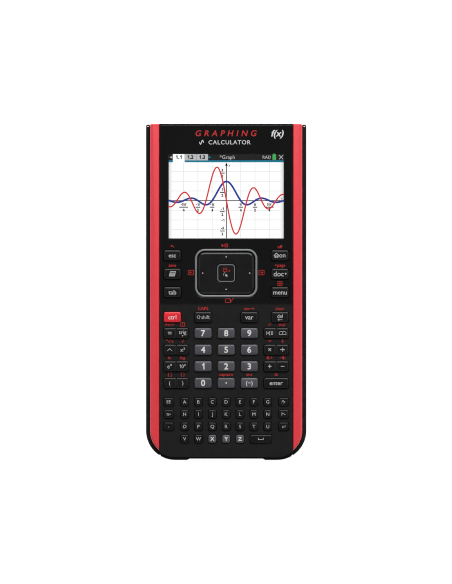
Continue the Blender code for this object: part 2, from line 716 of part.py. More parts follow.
def screw_mesh(at, head, under_head, tip):
    """A screw that points up: head and under_head are the heights of its flat head's two faces."""
    return loft([
        (circle(1.5, at), head),
        (circle(1.9, at), head + 0.2),
        (circle(1.9, at), under_head),
        (circle(1.0, at), under_head),
        (circle(1.0, at), tip - 0.5),
        (circle(0.5, at), tip),
    ])


def make_fixings(mats):
    """Four screws that hold the casings together, the battery door's screw and the reset plunger."""
    for corner, at in SCREWS.items():
        screw = make("case_screw_" + corner, screw_mesh(at, *SCREW_HEAD, SCREW_TIP), mats["steel"])
        cut(screw, prism(circle(SOCKET_RADIUS, at, 6), 3, SOCKET_TOP))
    at = (0, DOOR_SCREW_Y)
    head = (REAR_OUTSIDE + 0.05, REAR_OUTSIDE + 0.6)
    screw = make("door_screw", screw_mesh(at, *head, DOOR_SCREW_TIP), mats["steel"])
    cut(screw, prism(circle(SOCKET_RADIUS - 0.1, at, 6), 3, REAR_OUTSIDE + 0.35))
    plunger = prism(circle(SOCKET_RADIUS, RESET), *RESET_HEIGHTS)
    make("reset_button", plunger, mats["control"], (*RESET, RESET_HEIGHTS[0]))


def main():
    for old in list(bpy.data.objects):
        bpy.data.objects.remove(old)
    mats = palette()
    make_front_shell(mats)
    make_faceplate(mats)
    make_rail("left", mats)
    make_rail("right", mats)
    make_rear_shell(mats)
    make_slide_cover(mats)
    make_display(mats)
    make_keys(mats)
    make_rockers(mats)
    make_letter_strips(mats)
    make_touchpad(mats)
    make_membrane(mats)
    make_electronics(mats)
    make_battery(mats)
    make_fixings(mats)


main()
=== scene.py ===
"""The looks of a graphing calculator that lies on its back, seen from straight above.

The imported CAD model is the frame: its nodes give every place and size, and each piece made here
rides on one of its bodies. Lengths in this file are millimetres, and mm() turns them into metres.
"""

import math
import re

import bmesh
import bpy
from mathutils import Matrix, Vector
from mathutils.bvhtree import BVHTree


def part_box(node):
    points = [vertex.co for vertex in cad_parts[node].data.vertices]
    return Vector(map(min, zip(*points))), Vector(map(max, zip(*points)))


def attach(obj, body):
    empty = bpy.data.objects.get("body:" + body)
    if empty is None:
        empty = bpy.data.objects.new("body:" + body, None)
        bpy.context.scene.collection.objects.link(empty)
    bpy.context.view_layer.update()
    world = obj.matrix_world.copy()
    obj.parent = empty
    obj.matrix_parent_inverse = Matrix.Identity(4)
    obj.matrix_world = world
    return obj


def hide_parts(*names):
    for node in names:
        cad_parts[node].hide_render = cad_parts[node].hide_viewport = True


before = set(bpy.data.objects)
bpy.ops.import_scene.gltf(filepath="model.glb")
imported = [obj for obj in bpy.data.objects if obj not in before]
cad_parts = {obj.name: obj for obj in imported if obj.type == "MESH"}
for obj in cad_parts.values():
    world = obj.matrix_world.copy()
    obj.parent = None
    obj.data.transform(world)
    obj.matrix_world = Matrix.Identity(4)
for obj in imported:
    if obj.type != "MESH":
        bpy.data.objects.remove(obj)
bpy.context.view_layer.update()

SCALE = 0.001
# Printing: how far it stands proud, how thick its mesh is, and the step between its layers
INK, INK_DEPTH, HAIR = 0.03, 0.05, 0.002
# The height of the built-in font's capitals, in ems
CAPITAL = 0.69

# The main block's legends, each with its capital height. A rocker key has one for each half.
LEGENDS = {
    "key_esc": ("esc", 2.3),
    "key_tab": ("tab", 2.45),
    "key_menu": ("menu", 2.45),
    "key_ctrl": ("ctrl", 2.4),
    "key_var": ("var", 2.5),
    "key_shift": ("⇧shift", 1.95),
    "key_negate": ("(−)", 2.3),
    "key_enter": ("enter", 2.35),
    **{f"key_{digit}": (str(digit), 3.3) for digit in range(10)},
}
ROCKER_LEGENDS = {
    "rocker_equals_trig": (("=", 3.0), ("trig", 2.1)),
    "rocker_power_square": (None, ("x²", 2.3)),
    "rocker_exp_ten": (("eˣ", 2.3), ("10ˣ", 2.0)),
    "rocker_brackets": (("(", 2.2), (")", 2.2)),
    "rocker_template_book": (None, None),
    "rocker_times_divide": (("×", 2.9), ("÷", 3.7)),
    "rocker_plus_minus": (("+", 3.0), ("−", 3.0)),
}
# The second legend of a key, printed in red on the deck above it
SECOND = {
    "key_notepad": "save",
    "key_on": "off",
    "key_doc": "+page",
    "key_shift": "CAPS",
    "key_var": "sto→",
    "key_del": "clear",
    "key_point": "capture",
    "key_negate": "ans",
    "key_enter": "≈",
}
ROCKER_SECOND = {
    "rocker_equals_trig": ("≠≥>▸", None),
    "rocker_power_square": ("ⁿ√x", "√"),
    "rocker_exp_ten": ("ln", "log"),
    "rocker_brackets": ("[ ]", "{ }"),
    "rocker_template_book": (":=", "∞β°"),
    "rocker_times_divide": (None, "↕"),
    "rocker_plus_minus": ("◐+", "−◐"),
}
LETTER_ROWS = (
    ("EE", *"ABCDEFG", "?!▸"),
    ("π▸", *"HIJKLMN", "⚑▸"),
    (",", *"OPQRSTU", "↵"),
    ("V", "W", "X", "Y", "Z", "space"),
)
GREY_LETTERS = {"X", "Y", "Z"}
# The halves of rocker keys whose sign is drawn, each with the sign's half height
DRAWN = {
    ("rocker_power_square", -1): ("caret", 1.2),
    ("rocker_template_book", -1): ("formula", 1.15),
    ("rocker_template_book", 1): ("book", 1.0),
}
KEY_NODES = sorted(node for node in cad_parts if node.startswith("key_"))
ROCKER_NODES = sorted(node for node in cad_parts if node.startswith("rocker_"))
CORNERS = ("top_left", "top_right", "bottom_left", "bottom_right")

# Sizes that the CAD nodes' boxes don't give. First the clearance between parts, and the fine seams
GAP, SEAM = 0.3, 0.1
# The handheld's corners in plan at the keypad end and at the display end
BODY_CORNER, TOP_CORNER = 14.2, 1.0
# The rails: how far they reach round the casing, their outer round and the run of their inner slope
RAIL_THICK, RAIL_ROUND, RAIL_EDGE = 1.5, 1.4, 0.55
# The front casing: its walls' thickness, the deck's and the ledges', and the deck's overhang
FRONT_INSET, DECK_THICK, LEDGE_THICK, DECK_LIP = 3.0, 1.4, 1.2, 0.5
# Its screw posts, the wall beside the faceplate, and its holes against the pad's ring and the window
BOSS_RADIUS, SIDE_WALL, PAD_HOLE_MARGIN, WINDOW_HOLE_MARGIN = 3.0, 0.8, -1.05, 0.65
# A key's flange, the corners of its cap and of its hole, and the small keys' sizes
FLANGE, FLANGE_THICK = 0.9, 0.8
CORNER, OPENING_CORNER = 1.0, 1.1
LETTER, LETTER_PITCH, SIDE_LETTER_WIDTH, STRIP_MARGIN = 4.4, 7.8, 5.5, 0.6
# The corners of the pad's ring, of its plate, of its button and of the button's hole
PAD_CORNER, PLATE_CORNER, BUTTON_CORNER, HOLE_CORNER = 5.5, 3.9, 1.9, 2.2
BUTTON_HOLE = 10.7
# (inset, drop) down the plate's outer chamfer, and (growth, drop) down the edge of its hole
PLATE_EDGE = ((0, 0.95), (0.1, 0.82), (0.2, 0.75), (1.15, 0.3), (1.3, 0.26), (1.5, 0.25), (1.7, 0.25))
HOLE_EDGE = ((0.6, 0.25), (0.3, 0.25), (0.06, 0.32))
WINDOW_CORNER = 0.6
# The cover's floor, and the groove along the casing that its beads run in
COVER_FLOOR, GROOVE = 1.8, (10.0, 11.8)
# How far a cutter runs past a surface, and spans that are wider and taller than the whole object
PAST = 1.0
ACROSS_ALL, THROUGH = (-60, 60), (-1, 20)


def mm(*lengths):
    """Millimetres as metres: one number for one length, and a tuple for several."""
    scaled = tuple(length * SCALE for length in lengths)
    return scaled[0] if len(scaled) == 1 else scaled


def extent(node):
    """A CAD node's lowest and highest corners, in millimetres."""
    low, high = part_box(node)
    return low / SCALE, high / SCALE


def middle(node):
    low, high = extent(node)
    return (low + high) / 2


def grown(size, by):
    """A size in plan with by added at each side."""
    return size[0] + 2 * by, size[1] + 2 * by


def plan(node, margin=0.0):
    """A CAD node's middle in plan, and its size with a margin added at each side."""
    low, high = extent(node)
    size = (high.x - low.x, high.y - low.y)
    return ((low.x + high.x) / 2, (low.y + high.y) / 2), grown(size, margin)


# Outlines: lists of (x, y), counter-clockwise


def arc(centre, radius, first, last, steps):
    """Points along an arc from first to last degrees."""
    turns = [math.radians(first + (last - first) * i / steps) for i in range(steps + 1)]
    return [(centre[0] + radius * math.cos(t), centre[1] + radius * math.sin(t)) for t in turns]


def rounded_box(size, radius, centre=(0.0, 0.0), steps=5):
    """A rectangle with round corners. A pair of radii gives the left and the right ones."""
    left, right = radius if isinstance(radius, tuple) else (radius, radius)
    points = []
    for x, y, r, first in ((1, -1, right, -90), (1, 1, right, 0), (-1, 1, left, 90), (-1, -1, left, 180)):
        at = (centre[0] + x * (size[0] / 2 - r), centre[1] + y * (size[1] / 2 - r))
        points += arc(at, r, first, first + 90, steps)
    return points


def circle(radius, centre=(0.0, 0.0), sides=32):
    return arc(centre, radius, 0, 360 * (sides - 1) / sides, sides - 1)


def rectangle(x, y):
    """The outline between two values of each of x and y."""
    return [(x[0], y[0]), (x[1], y[0]), (x[1], y[1]), (x[0], y[1])]


def clipped(outline, reach):
    """The part of a convex outline between x = -reach and x = reach."""
    for side in (1, -1):
        kept = []
        for (x, y), (next_x, next_y) in zip(outline, outline[1:] + outline[:1]):
            if side * x <= reach:
                kept.append((x, y))
            if (side * x - reach) * (side * next_x - reach) < 0:
                share = (side * reach - x) / (next_x - x)
                kept.append((side * reach, y + share * (next_y - y)))
        outline = kept
    return outline


BODY_LOW, BODY_HIGH = extent("rear_shell")
FRONT = extent("faceplate")[1].z


def body_outline(inset, top=None):
    """The handheld's outline pulled in by inset. Its upper end is at top where that is given."""
    radius = BODY_CORNER - inset
    half = BODY_HIGH.x - inset
    x, y = BODY_HIGH.x - BODY_CORNER, BODY_LOW.y + BODY_CORNER
    points = arc((-x, y), radius, 180, 270, 24) + arc((x, y), radius, 270, 360, 24)
    small = max(TOP_CORNER - max(inset, 0), 0.2)
    end = (BODY_HIGH.y - inset if top is None else top) - small
    return points + arc((half - small, end), small, 0, 90, 5) + arc((-half + small, end), small, 90, 180, 5)


def rail_outline(inset, inner):
    """The right-hand rail in plan. Its upper end is pulled in by only a quarter of inset."""
    radius = BODY_CORNER - inset
    x, y = BODY_HIGH.x - BODY_CORNER, BODY_LOW.y + BODY_CORNER
    tip = math.degrees(math.acos((inner - x) / radius))
    small = max(TOP_CORNER - inset, 0.2)
    end = BODY_HIGH.y - inset / 4
    corner = arc((BODY_HIGH.x - inset - small, end - small), small, 0, 90, 5)
    return arc((x, y), radius, -tip, 0, 24) + corner + [(inner, end)]


def quarter(radius, steps=6):
    """(inset, rise) along a quarter round, from its foot to its top."""
    turns = [math.radians(90 * i / steps) for i in range(steps + 1)]
    return [(radius * (1 - math.cos(t)), radius * math.sin(t)) for t in turns]


# Meshes


def loft(rings, closed=False):
    """A mesh through rings of ((x, y) outline, z): capped, or with closed joined from last to first."""
    mesh = bmesh.new()
    layers = [[mesh.verts.new(mm(x, y, z)) for x, y in outline] for outline, z in rings]
    pairs = list(zip(layers, layers[1:]))
    if closed:
        pairs.append((layers[-1], layers[0]))
    else:
        mesh.faces.new(list(reversed(layers[0])))
        mesh.faces.new(layers[-1])
    for low, high in pairs:
        for i, vert in enumerate(low):
            j = (i + 1) % len(low)
            mesh.faces.new((vert, low[j], high[j], high[i]))
    return mesh


def prism(outline, low, high):
    return loft([(outline, low), (outline, high)])


def block(x, y, z):
    """A box between two values of each of x, y and z."""
    return prism(rectangle(x, y), *z)


def joined(meshes):
    """Several separate meshes as one."""
    whole = bmesh.new()
    for part in meshes:
        held = bpy.data.meshes.new("held")
        part.to_mesh(held)
        part.free()
        whole.from_mesh(held)
        bpy.data.meshes.remove(held)
    return whole


def mirrored(mesh):
    """The same mesh on the other side of x = 0."""
    bmesh.ops.transform(mesh, matrix=Matrix.Scale(-1, 4, (1, 0, 0)), verts=mesh.verts)
    bmesh.ops.reverse_faces(mesh, faces=mesh.faces)
    return mesh


# An edge that turns by more degrees than these is shaded as sharp, or gets a rounding
SHARP, ROUNDED = 35, 40


def placed(name, mesh):
    """A mesh as an object in the scene."""
    data = bpy.data.meshes.new(name)
    mesh.to_mesh(data)
    mesh.free()
    made = bpy.data.objects.new(name, data)
    bpy.context.scene.collection.objects.link(made)
    return made


def cut(*meshes):
    """A step for shaped() that takes meshes away."""
    return "DIFFERENCE", joined(meshes)


def add(*meshes):
    """A step for shaped() that adds meshes."""
    return "UNION", joined(meshes)


def shaped(mesh, *steps):
    """The mesh after Booleans, each from cut() or add()."""
    target = placed("target", mesh)
    helpers = []
    for operation, other in steps:
        helper = placed("helper", other)
        step = target.modifiers.new(operation.lower(), "BOOLEAN")
        step.operation = operation
        step.solver = "EXACT"
        step.object = helper
        helpers.append(helper)
    bpy.context.view_layer.update()
    result = bmesh.new()
    evaluated = target.evaluated_get(bpy.context.evaluated_depsgraph_get())
    result.from_mesh(evaluated.to_mesh())
    evaluated.to_mesh_clear()
    for used in (target, *helpers):
        data = used.data
        bpy.data.objects.remove(used)
        bpy.data.meshes.remove(data)
    return result


def piece(name, mesh, finish, body, stands_for=(), bevel=0.0):
    """A shown object that rides on a body. bevel is the width of its edges' rounding, in millimetres."""
    made = placed(name, mesh)
    made.data.materials.append(MATERIALS[finish])
    made.data.shade_smooth()
    made.data.set_sharp_from_angle(angle=math.radians(SHARP))
    if bevel:
        edges = made.modifiers.new("edges", "BEVEL")
        edges.width = mm(bevel)
        edges.segments = 3
        edges.limit_method = "ANGLE"
        edges.angle_limit = math.radians(ROUNDED)
    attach(made, body)
    if stands_for:
        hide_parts(*stands_for)
    return made


# Printing: flat shapes and lettering


# Characters drawn as lines, with the baseline at 0 and capitals as high as CAPITAL
STROKES = {
    "1": [[(0.2, 0.03), (0.2, 0.66)], [(0.03, 0.51), (0.17, 0.63)]],
    "π": [[(0, 0.46), (0.54, 0.46)], [(0.15, 0.44), (0.1, 0)], [(0.39, 0.44), (0.41, 0)]],
    "√": [[(0, 0.3), (0.12, 0.34), (0.26, 0), (0.5, 0.69)]],
    "≠": [[(0, 0.24), (0.5, 0.24)], [(0, 0.42), (0.5, 0.42)], [(0.12, 0.06), (0.38, 0.6)]],
    "→": [[(0, 0.33), (0.8, 0.33)], [(0.58, 0.53), (0.82, 0.33), (0.58, 0.13)]],
    "⚑": [[(0.04, 0), (0.04, 0.7)], [(0.06, 0.68), (0.42, 0.5), (0.06, 0.32)]],
    "↕": [
        [(0.2, 0.03), (0.2, 0.7)],
        [(0, 0.53), (0.2, 0.73), (0.4, 0.53)],
        [(0, 0.2), (0.2, 0), (0.4, 0.2)],
    ],
    "↵": [[(0.6, 0.62), (0.6, 0.25), (0.03, 0.25)], [(0.2, 0.45), (0, 0.25), (0.2, 0.05)]],
}


def stroke(points, width, z):
    """A flat line through points, with mitred corners. It closes where its last point is its first."""
    shut = points[0] == points[-1]
    places = [Vector(point) for point in points]
    around = [places[-2], *places, places[1]] if shut else [None, *places, None]
    mesh = bmesh.new()
    rows = []
    for before, at, after in zip(around, around[1:], around[2:]):
        first = (at - before if before else after - at).normalized()
        last = (after - at if after else at - before).normalized()
        side = (first.orthogonal() + last.orthogonal()).normalized()
        reach = side * width / 2 / max(side.dot(first.orthogonal()), 0.5)
        run_on = (0 if before else -1) + (0 if after else 1)
        at = at + first * width / 2 * run_on
        rows.append([mesh.verts.new(mm(*(at + k * reach), z)) for k in (-1, 1)])
    for (a, b), (c, d) in zip(rows, rows[1:]):
        mesh.faces.new((a, c, d, b))
    if shut:
        bmesh.ops.remove_doubles(mesh, verts=mesh.verts, dist=mm(HAIR))
    return mesh


def stacked(shapes):
    """Flat shapes as one mesh. Each is a hair above the one before, so that no two share a plane."""
    for i, shape in enumerate(shapes):
        bmesh.ops.translate(shape, verts=shape.verts, vec=(0, 0, mm(HAIR) * (i % 6)))
    return joined(shapes)


def spread(mesh, by):
    """Moves the outline of flat lettering outwards, as ink does."""
    bmesh.ops.remove_doubles(mesh, verts=mesh.verts, dist=1e-5)
    outward = {}
    for edge in mesh.edges:
        if edge.is_boundary:
            loop = edge.link_loops[0]
            along = (loop.link_loop_next.vert.co - loop.vert.co).normalized()
            for vert in edge.verts:
                outward.setdefault(vert, []).append(along.cross(loop.face.normal))
    for vert, ways in outward.items():
        mean = sum(ways, Vector()).normalized()
        vert.co += mean * by / max(mean.dot(ways[0]), 0.5)


def glyphs(text, weight, slant, spacing, fine):
    """Characters from the built-in font, one millimetre to the em."""
    curve = bpy.data.curves.new("text", "FONT")
    curve.body = text
    curve.resolution_u = 7 if fine else 3
    curve.shear = slant
    curve.space_character = spacing
    holder = bpy.data.objects.new("text", curve)
    bpy.context.scene.collection.objects.link(holder)
    bpy.context.view_layer.update()
    mesh = bmesh.new()
    evaluated = holder.evaluated_get(bpy.context.evaluated_depsgraph_get())
    mesh.from_mesh(evaluated.to_mesh())
    evaluated.to_mesh_clear()
    bpy.data.objects.remove(holder)
    bpy.data.curves.remove(curve)
    if weight:
        spread(mesh, weight)
    bmesh.ops.scale(mesh, verts=mesh.verts, vec=mm(1, 1, 1))
    return mesh


def text_mesh(text, height, centre, z, weight=0.0, slant=0.0, most=None, spacing=1.0):
    """Lettering of a capital height in millimetres, centred on (x, y) at z. most is its greatest width."""
    parts = []
    end = 0.0
    for run in filter(None, re.split("([" + "".join(STROKES) + "])", text)):
        if run in STROKES:
            part = stacked([stroke(line, 0.08 + 2 * weight, 0) for line in STROKES[run]])
        else:
            part = glyphs(run, weight, slant, spacing, height > 2.6)
        xs = [vert.co.x for vert in part.verts]
        bmesh.ops.translate(part, verts=part.verts, vec=(end - min(xs), 0, 0))
        end += max(xs) - min(xs) + mm(0.12)
        parts.append(part)
    mesh = joined(parts)
    width = end - mm(0.12)
    size = height / CAPITAL
    if most:
        size = min(size, mm(most) / width)
    for vert in mesh.verts:
        x = mm(centre[0]) + (vert.co.x - width / 2) * size
        y = mm(centre[1]) + (vert.co.y - mm(CAPITAL) / 2) * size
        vert.co = (x, y, mm(z) + vert.co.z)
    return mesh


def flat(outline, z):
    """One flat face."""
    mesh = bmesh.new()
    mesh.faces.new([mesh.verts.new(mm(x, y, z)) for x, y in outline])
    return mesh


def frame_line(size, radius, centre, width, z):
    """A flat line just inside a rectangle with round corners."""
    outline = rounded_box(grown(size, -width / 2), radius - width / 2, centre)
    return stroke([*outline, outline[0]], width, z)


def both_sides(*lines):
    """Lines and their mirror images."""
    return [*lines, *([(-x, y) for x, y in line] for line in lines)]


# Small signs as lines between points, about one unit each way from the middle
SIGNS = {
    "house": both_sides([(0, 1), (1.1, 0)], [(0.75, 0.2), (0.75, -1), (0.3, -1), (0.3, -0.3), (0, -0.3)]),
    "book": both_sides([(0, -0.8), (0, 0.5), (0.5, 0.9), (1.3, 0.9), (1.9, 0.4), (1.9, -0.8), (0, -0.8)]),
    "formula": [
        [(-1.5, -0.8), (-1.5, 0.8)],
        [(-1.0, -0.4), (-0.4, 0.4)],
        [(-1.0, 0.4), (-0.4, -0.4)],
        [(0.3, 0.9), (-0.1, 0.9), (-0.1, -0.9), (0.3, -0.9)],
        [(0.8, -0.7), (0.8, 0.7), (1.5, 0.7), (1.5, -0.7), (0.8, -0.7)],
    ],
    "grid": [[(x, -1), (x, 1)] for x in (-1, 0, 1)] + [[(-1, y), (1, y)] for y in (-1, 0, 1)],
    "caret": [[(-1.1, -0.5), (0, 0.5), (1.1, -0.5)]],
    "roof": [[(-1.2, 0.5), (-0.6, 0.5), (0, -0.6), (0.6, 0.5), (1.2, 0.5)]],
    "back": [
        [(-0.9, 0.3), (-0.5, 0.8), (0.2, 0.8), (0.7, 0.3), (0.6, -0.6)],
        [(-0.9, 1), (-0.9, 0.3), (-0.2, 0.3)],
    ],
    "screen": [[(-1, -0.9), (-1, 0.9), (0.7, 0.9), (0.7, -0.9), (-1, -0.9)], [(-0.5, 0.3), (0.2, 0.3)]],
    "point": [[(0.1, 0.8), (1.0, 0), (0.1, -0.8)], [(-0.9, 0), (1.0, 0)]],
    "erase": [[(2.4, 0), (-2.4, 0)], [(-1.0, 1), (-2.4, 0), (-1.0, -1)]],
    "tick": [[(-0.8, 0.1), (-0.2, -0.7), (1, 0.9)]],
    "wave": [[(x / 6, math.sin(math.pi * x / 6)) for x in range(-6, 7)]],
}


def sign(name, half, centre, z, width=0.28, turn=1):
    """One of the small signs. half is its half height, and a turn of -1 mirrors it."""
    lines = [[(centre[0] + turn * x * half, centre[1] + y * half) for x, y in line] for line in SIGNS[name]]
    return stacked([stroke(line, width, z) for line in lines])


def diced(mesh, pitch=0.6):
    """Cuts flat shapes into small faces, so that they can follow a curved surface."""
    for axis in (0, 1):
        places = [vert.co[axis] for vert in mesh.verts]
        for i in range(1, int((max(places) - min(places)) / mm(pitch)) + 1):
            normal = Vector((0, 0, 0))
            normal[axis] = 1
            at = normal * (min(places) + i * mm(pitch))
            geom = [*mesh.verts, *mesh.edges, *mesh.faces]
            bmesh.ops.bisect_plane(mesh, geom=geom, plane_co=at, plane_no=normal)


def printed(name, shapes, finish, body, onto=None):
    """Flat shapes as one thin raised layer, laid on the surface onto where that is given."""
    mesh = stacked(shapes)
    if onto:
        diced(mesh)
        lowest = min(vert.co.z for vert in mesh.verts)
        for vert in mesh.verts:
            hit = onto.ray_cast(vert.co + Vector((0, 0, 1)), Vector((0, 0, -1)))[0]
            if hit:
                vert.co.z = hit.z + mm(INK) + vert.co.z - lowest
    made = bmesh.ops.extrude_face_region(mesh, geom=mesh.faces[:])
    under = [item for item in made["geom"] if isinstance(item, bmesh.types.BMVert)]
    bmesh.ops.translate(mesh, verts=under, vec=(0, 0, -mm(INK_DEPTH)))
    bmesh.ops.recalc_face_normals(mesh, faces=mesh.faces[:])
    return piece(name, mesh, finish, body)


# Materials


def linear(*channels):
    """A display colour, 0 to 255, as the linear values that a shader takes."""
    shares = [channel / 255 for channel in channels]
    return tuple(s / 12.92 if s <= 0.04045 else ((s + 0.055) / 1.055) ** 2.4 for s in shares)


class Surface:
    """A material whose nodes are added one layer at a time."""

    def __init__(self, name, colour, roughness, **sockets):
        self.material = bpy.data.materials.new(name)
        self.material.use_nodes = True
        self.nodes = self.material.node_tree.nodes
        self.shader = self.nodes["Principled BSDF"]
        self.colour = colour
        self.roughness = roughness
        self.shader.inputs["Base Color"].default_value = (*colour, 1.0)
        self.shader.inputs["Roughness"].default_value = roughness
        for socket, value in sockets.items():
            self.shader.inputs[socket.replace("_", " ")].default_value = value
        self.places = self.nodes.new("ShaderNodeTexCoord")

    def link(self, source, target):
        self.material.node_tree.links.new(source, target)

    def node(self, kind, **values):
        """A node with some of its input sockets set."""
        made = self.nodes.new("ShaderNode" + kind)
        for socket, value in values.items():
            made.inputs[socket.replace("_", " ")].default_value = value
        return made

    def noise(self, size, detail=2.0, stretch=None):
        """Noise whose features are about size millimetres across."""
        made = self.node("TexNoise", Scale=1 / mm(size), Detail=detail)
        source = self.places.outputs["Object"]
        if stretch:
            turned = self.node("Mapping", Scale=stretch)
            self.link(source, turned.inputs["Vector"])
            source = turned.outputs["Vector"]
        self.link(source, made.inputs["Vector"])
        return made.outputs["Fac"]

    def range(self, source, low, high):
        """A share from 0.3 to 0.7, which noise mostly gives, turned into low to high."""
        made = self.node("MapRange", From_Min=0.3, From_Max=0.7, To_Min=low, To_Max=high)
        self.link(source, made.inputs["Value"])
        return made.outputs["Result"]

    def mix(self, share, dark, light):
        """A base colour that runs from dark to light as share does."""
        made = self.nodes.new("ShaderNodeMix")
        made.data_type = "RGBA"
        made.inputs[6].default_value = (*dark, 1)
        made.inputs[7].default_value = (*[min(c, 1) for c in light], 1)
        self.link(share, made.inputs[0])
        self.link(made.outputs[2], self.shader.inputs["Base Color"])

    def mottle(self, size, amount):
        """Patches a little darker and lighter than the colour."""
        dark, light = ([c * (1 + side * amount) for c in self.colour] for side in (-1, 1))
        self.mix(self.range(self.noise(size), 0, 1), dark, light)
        return self

    def smudge(self, size, amount, stretch=None):
        """Roughness that varies from place to place."""
        low, high = self.roughness - amount, self.roughness + amount
        self.link(self.range(self.noise(size, 4.0, stretch), low, high), self.shader.inputs["Roughness"])
        return self

    def bricks(self, target, colours, offset=0.5, **values):
        """A pattern of bricks in two colours, with mortar of a third, as the colour of a socket."""
        made = self.node("TexBrick", **values)
        made.offset = offset
        for socket, colour in zip(("Color1", "Color2", "Mortar"), colours):
            made.inputs[socket].default_value = (*colour, 1)
        self.link(self.places.outputs["Object"], made.inputs["Vector"])
        self.link(made.outputs["Color"], self.shader.inputs[target])

    def grain(self, size, depth, stretch=None):
        """A fine relief of a depth in millimetres."""
        bump = self.node("Bump", Strength=1.0, Distance=mm(depth))
        self.link(self.noise(size, 3.0, stretch), bump.inputs["Height"])
        self.link(bump.outputs["Normal"], self.shader.inputs["Normal"])
        return self


def moulded(name, colour, roughness, grain=0.25, depth=0.004, **sockets):
    """Textured plastic."""
    made = Surface(name, colour, roughness, **sockets)
    made.mottle(9, 0.12).smudge(3, 0.06).grain(grain, depth)
    return made.material


def polished(name, colour, roughness=0.12):
    """Glossy plastic with a hint of orange peel and fingerprints."""
    made = Surface(name, colour, roughness)
    made.mottle(14, 0.08).smudge(6, 0.04).grain(1.8, 0.0012)
    return made.material


def lacquer(name, colour):
    """Paint with fine flakes under a thin clear coat."""
    made = Surface(name, colour, 0.42, Specular_IOR_Level=0.35, Coat_Weight=0.1, Coat_Roughness=0.3)
    flakes = made.node("TexVoronoi", Scale=1 / mm(0.12))
    made.link(made.places.outputs["Object"], flakes.inputs["Vector"])
    split = made.node("SeparateColor")
    made.link(flakes.outputs["Color"], split.inputs["Color"])
    made.mix(split.outputs[0], [c * 0.9 for c in colour], [c * 1.12 + 0.01 for c in colour])
    made.smudge(5, 0.04).grain(0.9, 0.001)
    return made.material


def brushed(name, colour, roughness, metallic=1.0):
    """Metal with a drawn finish."""
    made = Surface(name, colour, roughness, Metallic=metallic)
    made.mottle(5, 0.08).smudge(0.15, 0.08, (1, 12, 12)).grain(0.12, 0.001, (1, 14, 14))
    return made.material


def ink(name, colour):
    """Printing: flat and a little uneven."""
    made = Surface(name, colour, 0.5, Specular_IOR_Level=0.3)
    made.mottle(0.8, 0.05).smudge(0.6, 0.08)
    return made.material


def lit(name, colour):
    """Part of the display's picture, with the panel's own fine grid of cells."""
    made = Surface(name, (0.0, 0.0, 0.0), 0.5, Specular_IOR_Level=0.05)
    colours = [[c * share for c in colour] for share in (1, 0.99, 0.96)]
    cell = {"Scale": 1 / mm(0.2), "Mortar_Size": 0.02, "Brick_Width": 1.0, "Row_Height": 1.0}
    made.bricks("Emission Color", colours, 0, **cell)
    made.shader.inputs["Emission Strength"].default_value = 1.0
    return made


def page(name, half_width, edge_shade_width=2.2):
    """The white of the display's page, with painted shade that darkens it towards its left and right edges.
    """
    made = lit(name, (1.0, 1.0, 1.0))
    split = made.node("SeparateXYZ")
    made.link(made.places.outputs["Object"], split.inputs["Vector"])
    across = made.node("Math")
    across.operation = "ABSOLUTE"
    made.link(split.outputs["X"], across.inputs[0])
    near, edge = mm(half_width - edge_shade_width, half_width)
    # Painted shade: the emission strength falls from 1.05 to 0.71 across a narrow band at each side edge
    painted_edge_shade = made.node("MapRange", From_Min=near, From_Max=edge, To_Min=1.05, To_Max=0.71)
    made.link(across.outputs[0], painted_edge_shade.inputs["Value"])
    made.link(painted_edge_shade.outputs["Result"], made.shader.inputs["Emission Strength"])
    return made.material


def clear_window():
    """Clear plastic over the display."""
    made = Surface("window_clear", (1.0, 1.0, 1.0), 0.04, Transmission_Weight=1.0, IOR=1.2)
    made.smudge(8, 0.01)
    return made.material


def circuit_board(name):
    """Solder mask with the raised lines of the copper under it."""
    mask = (0.015, 0.12, 0.045)
    made = Surface(name, mask, 0.3, Coat_Weight=0.4)
    colours = (mask, (0.02, 0.15, 0.055), (0.06, 0.28, 0.1))
    track = {"Scale": 1 / mm(2.4), "Mortar_Size": 0.09, "Brick_Width": 1.9, "Row_Height": 0.5}
    made.bricks("Base Color", colours, **track)
    made.smudge(4, 0.05).grain(1.2, 0.01)
    return made.material


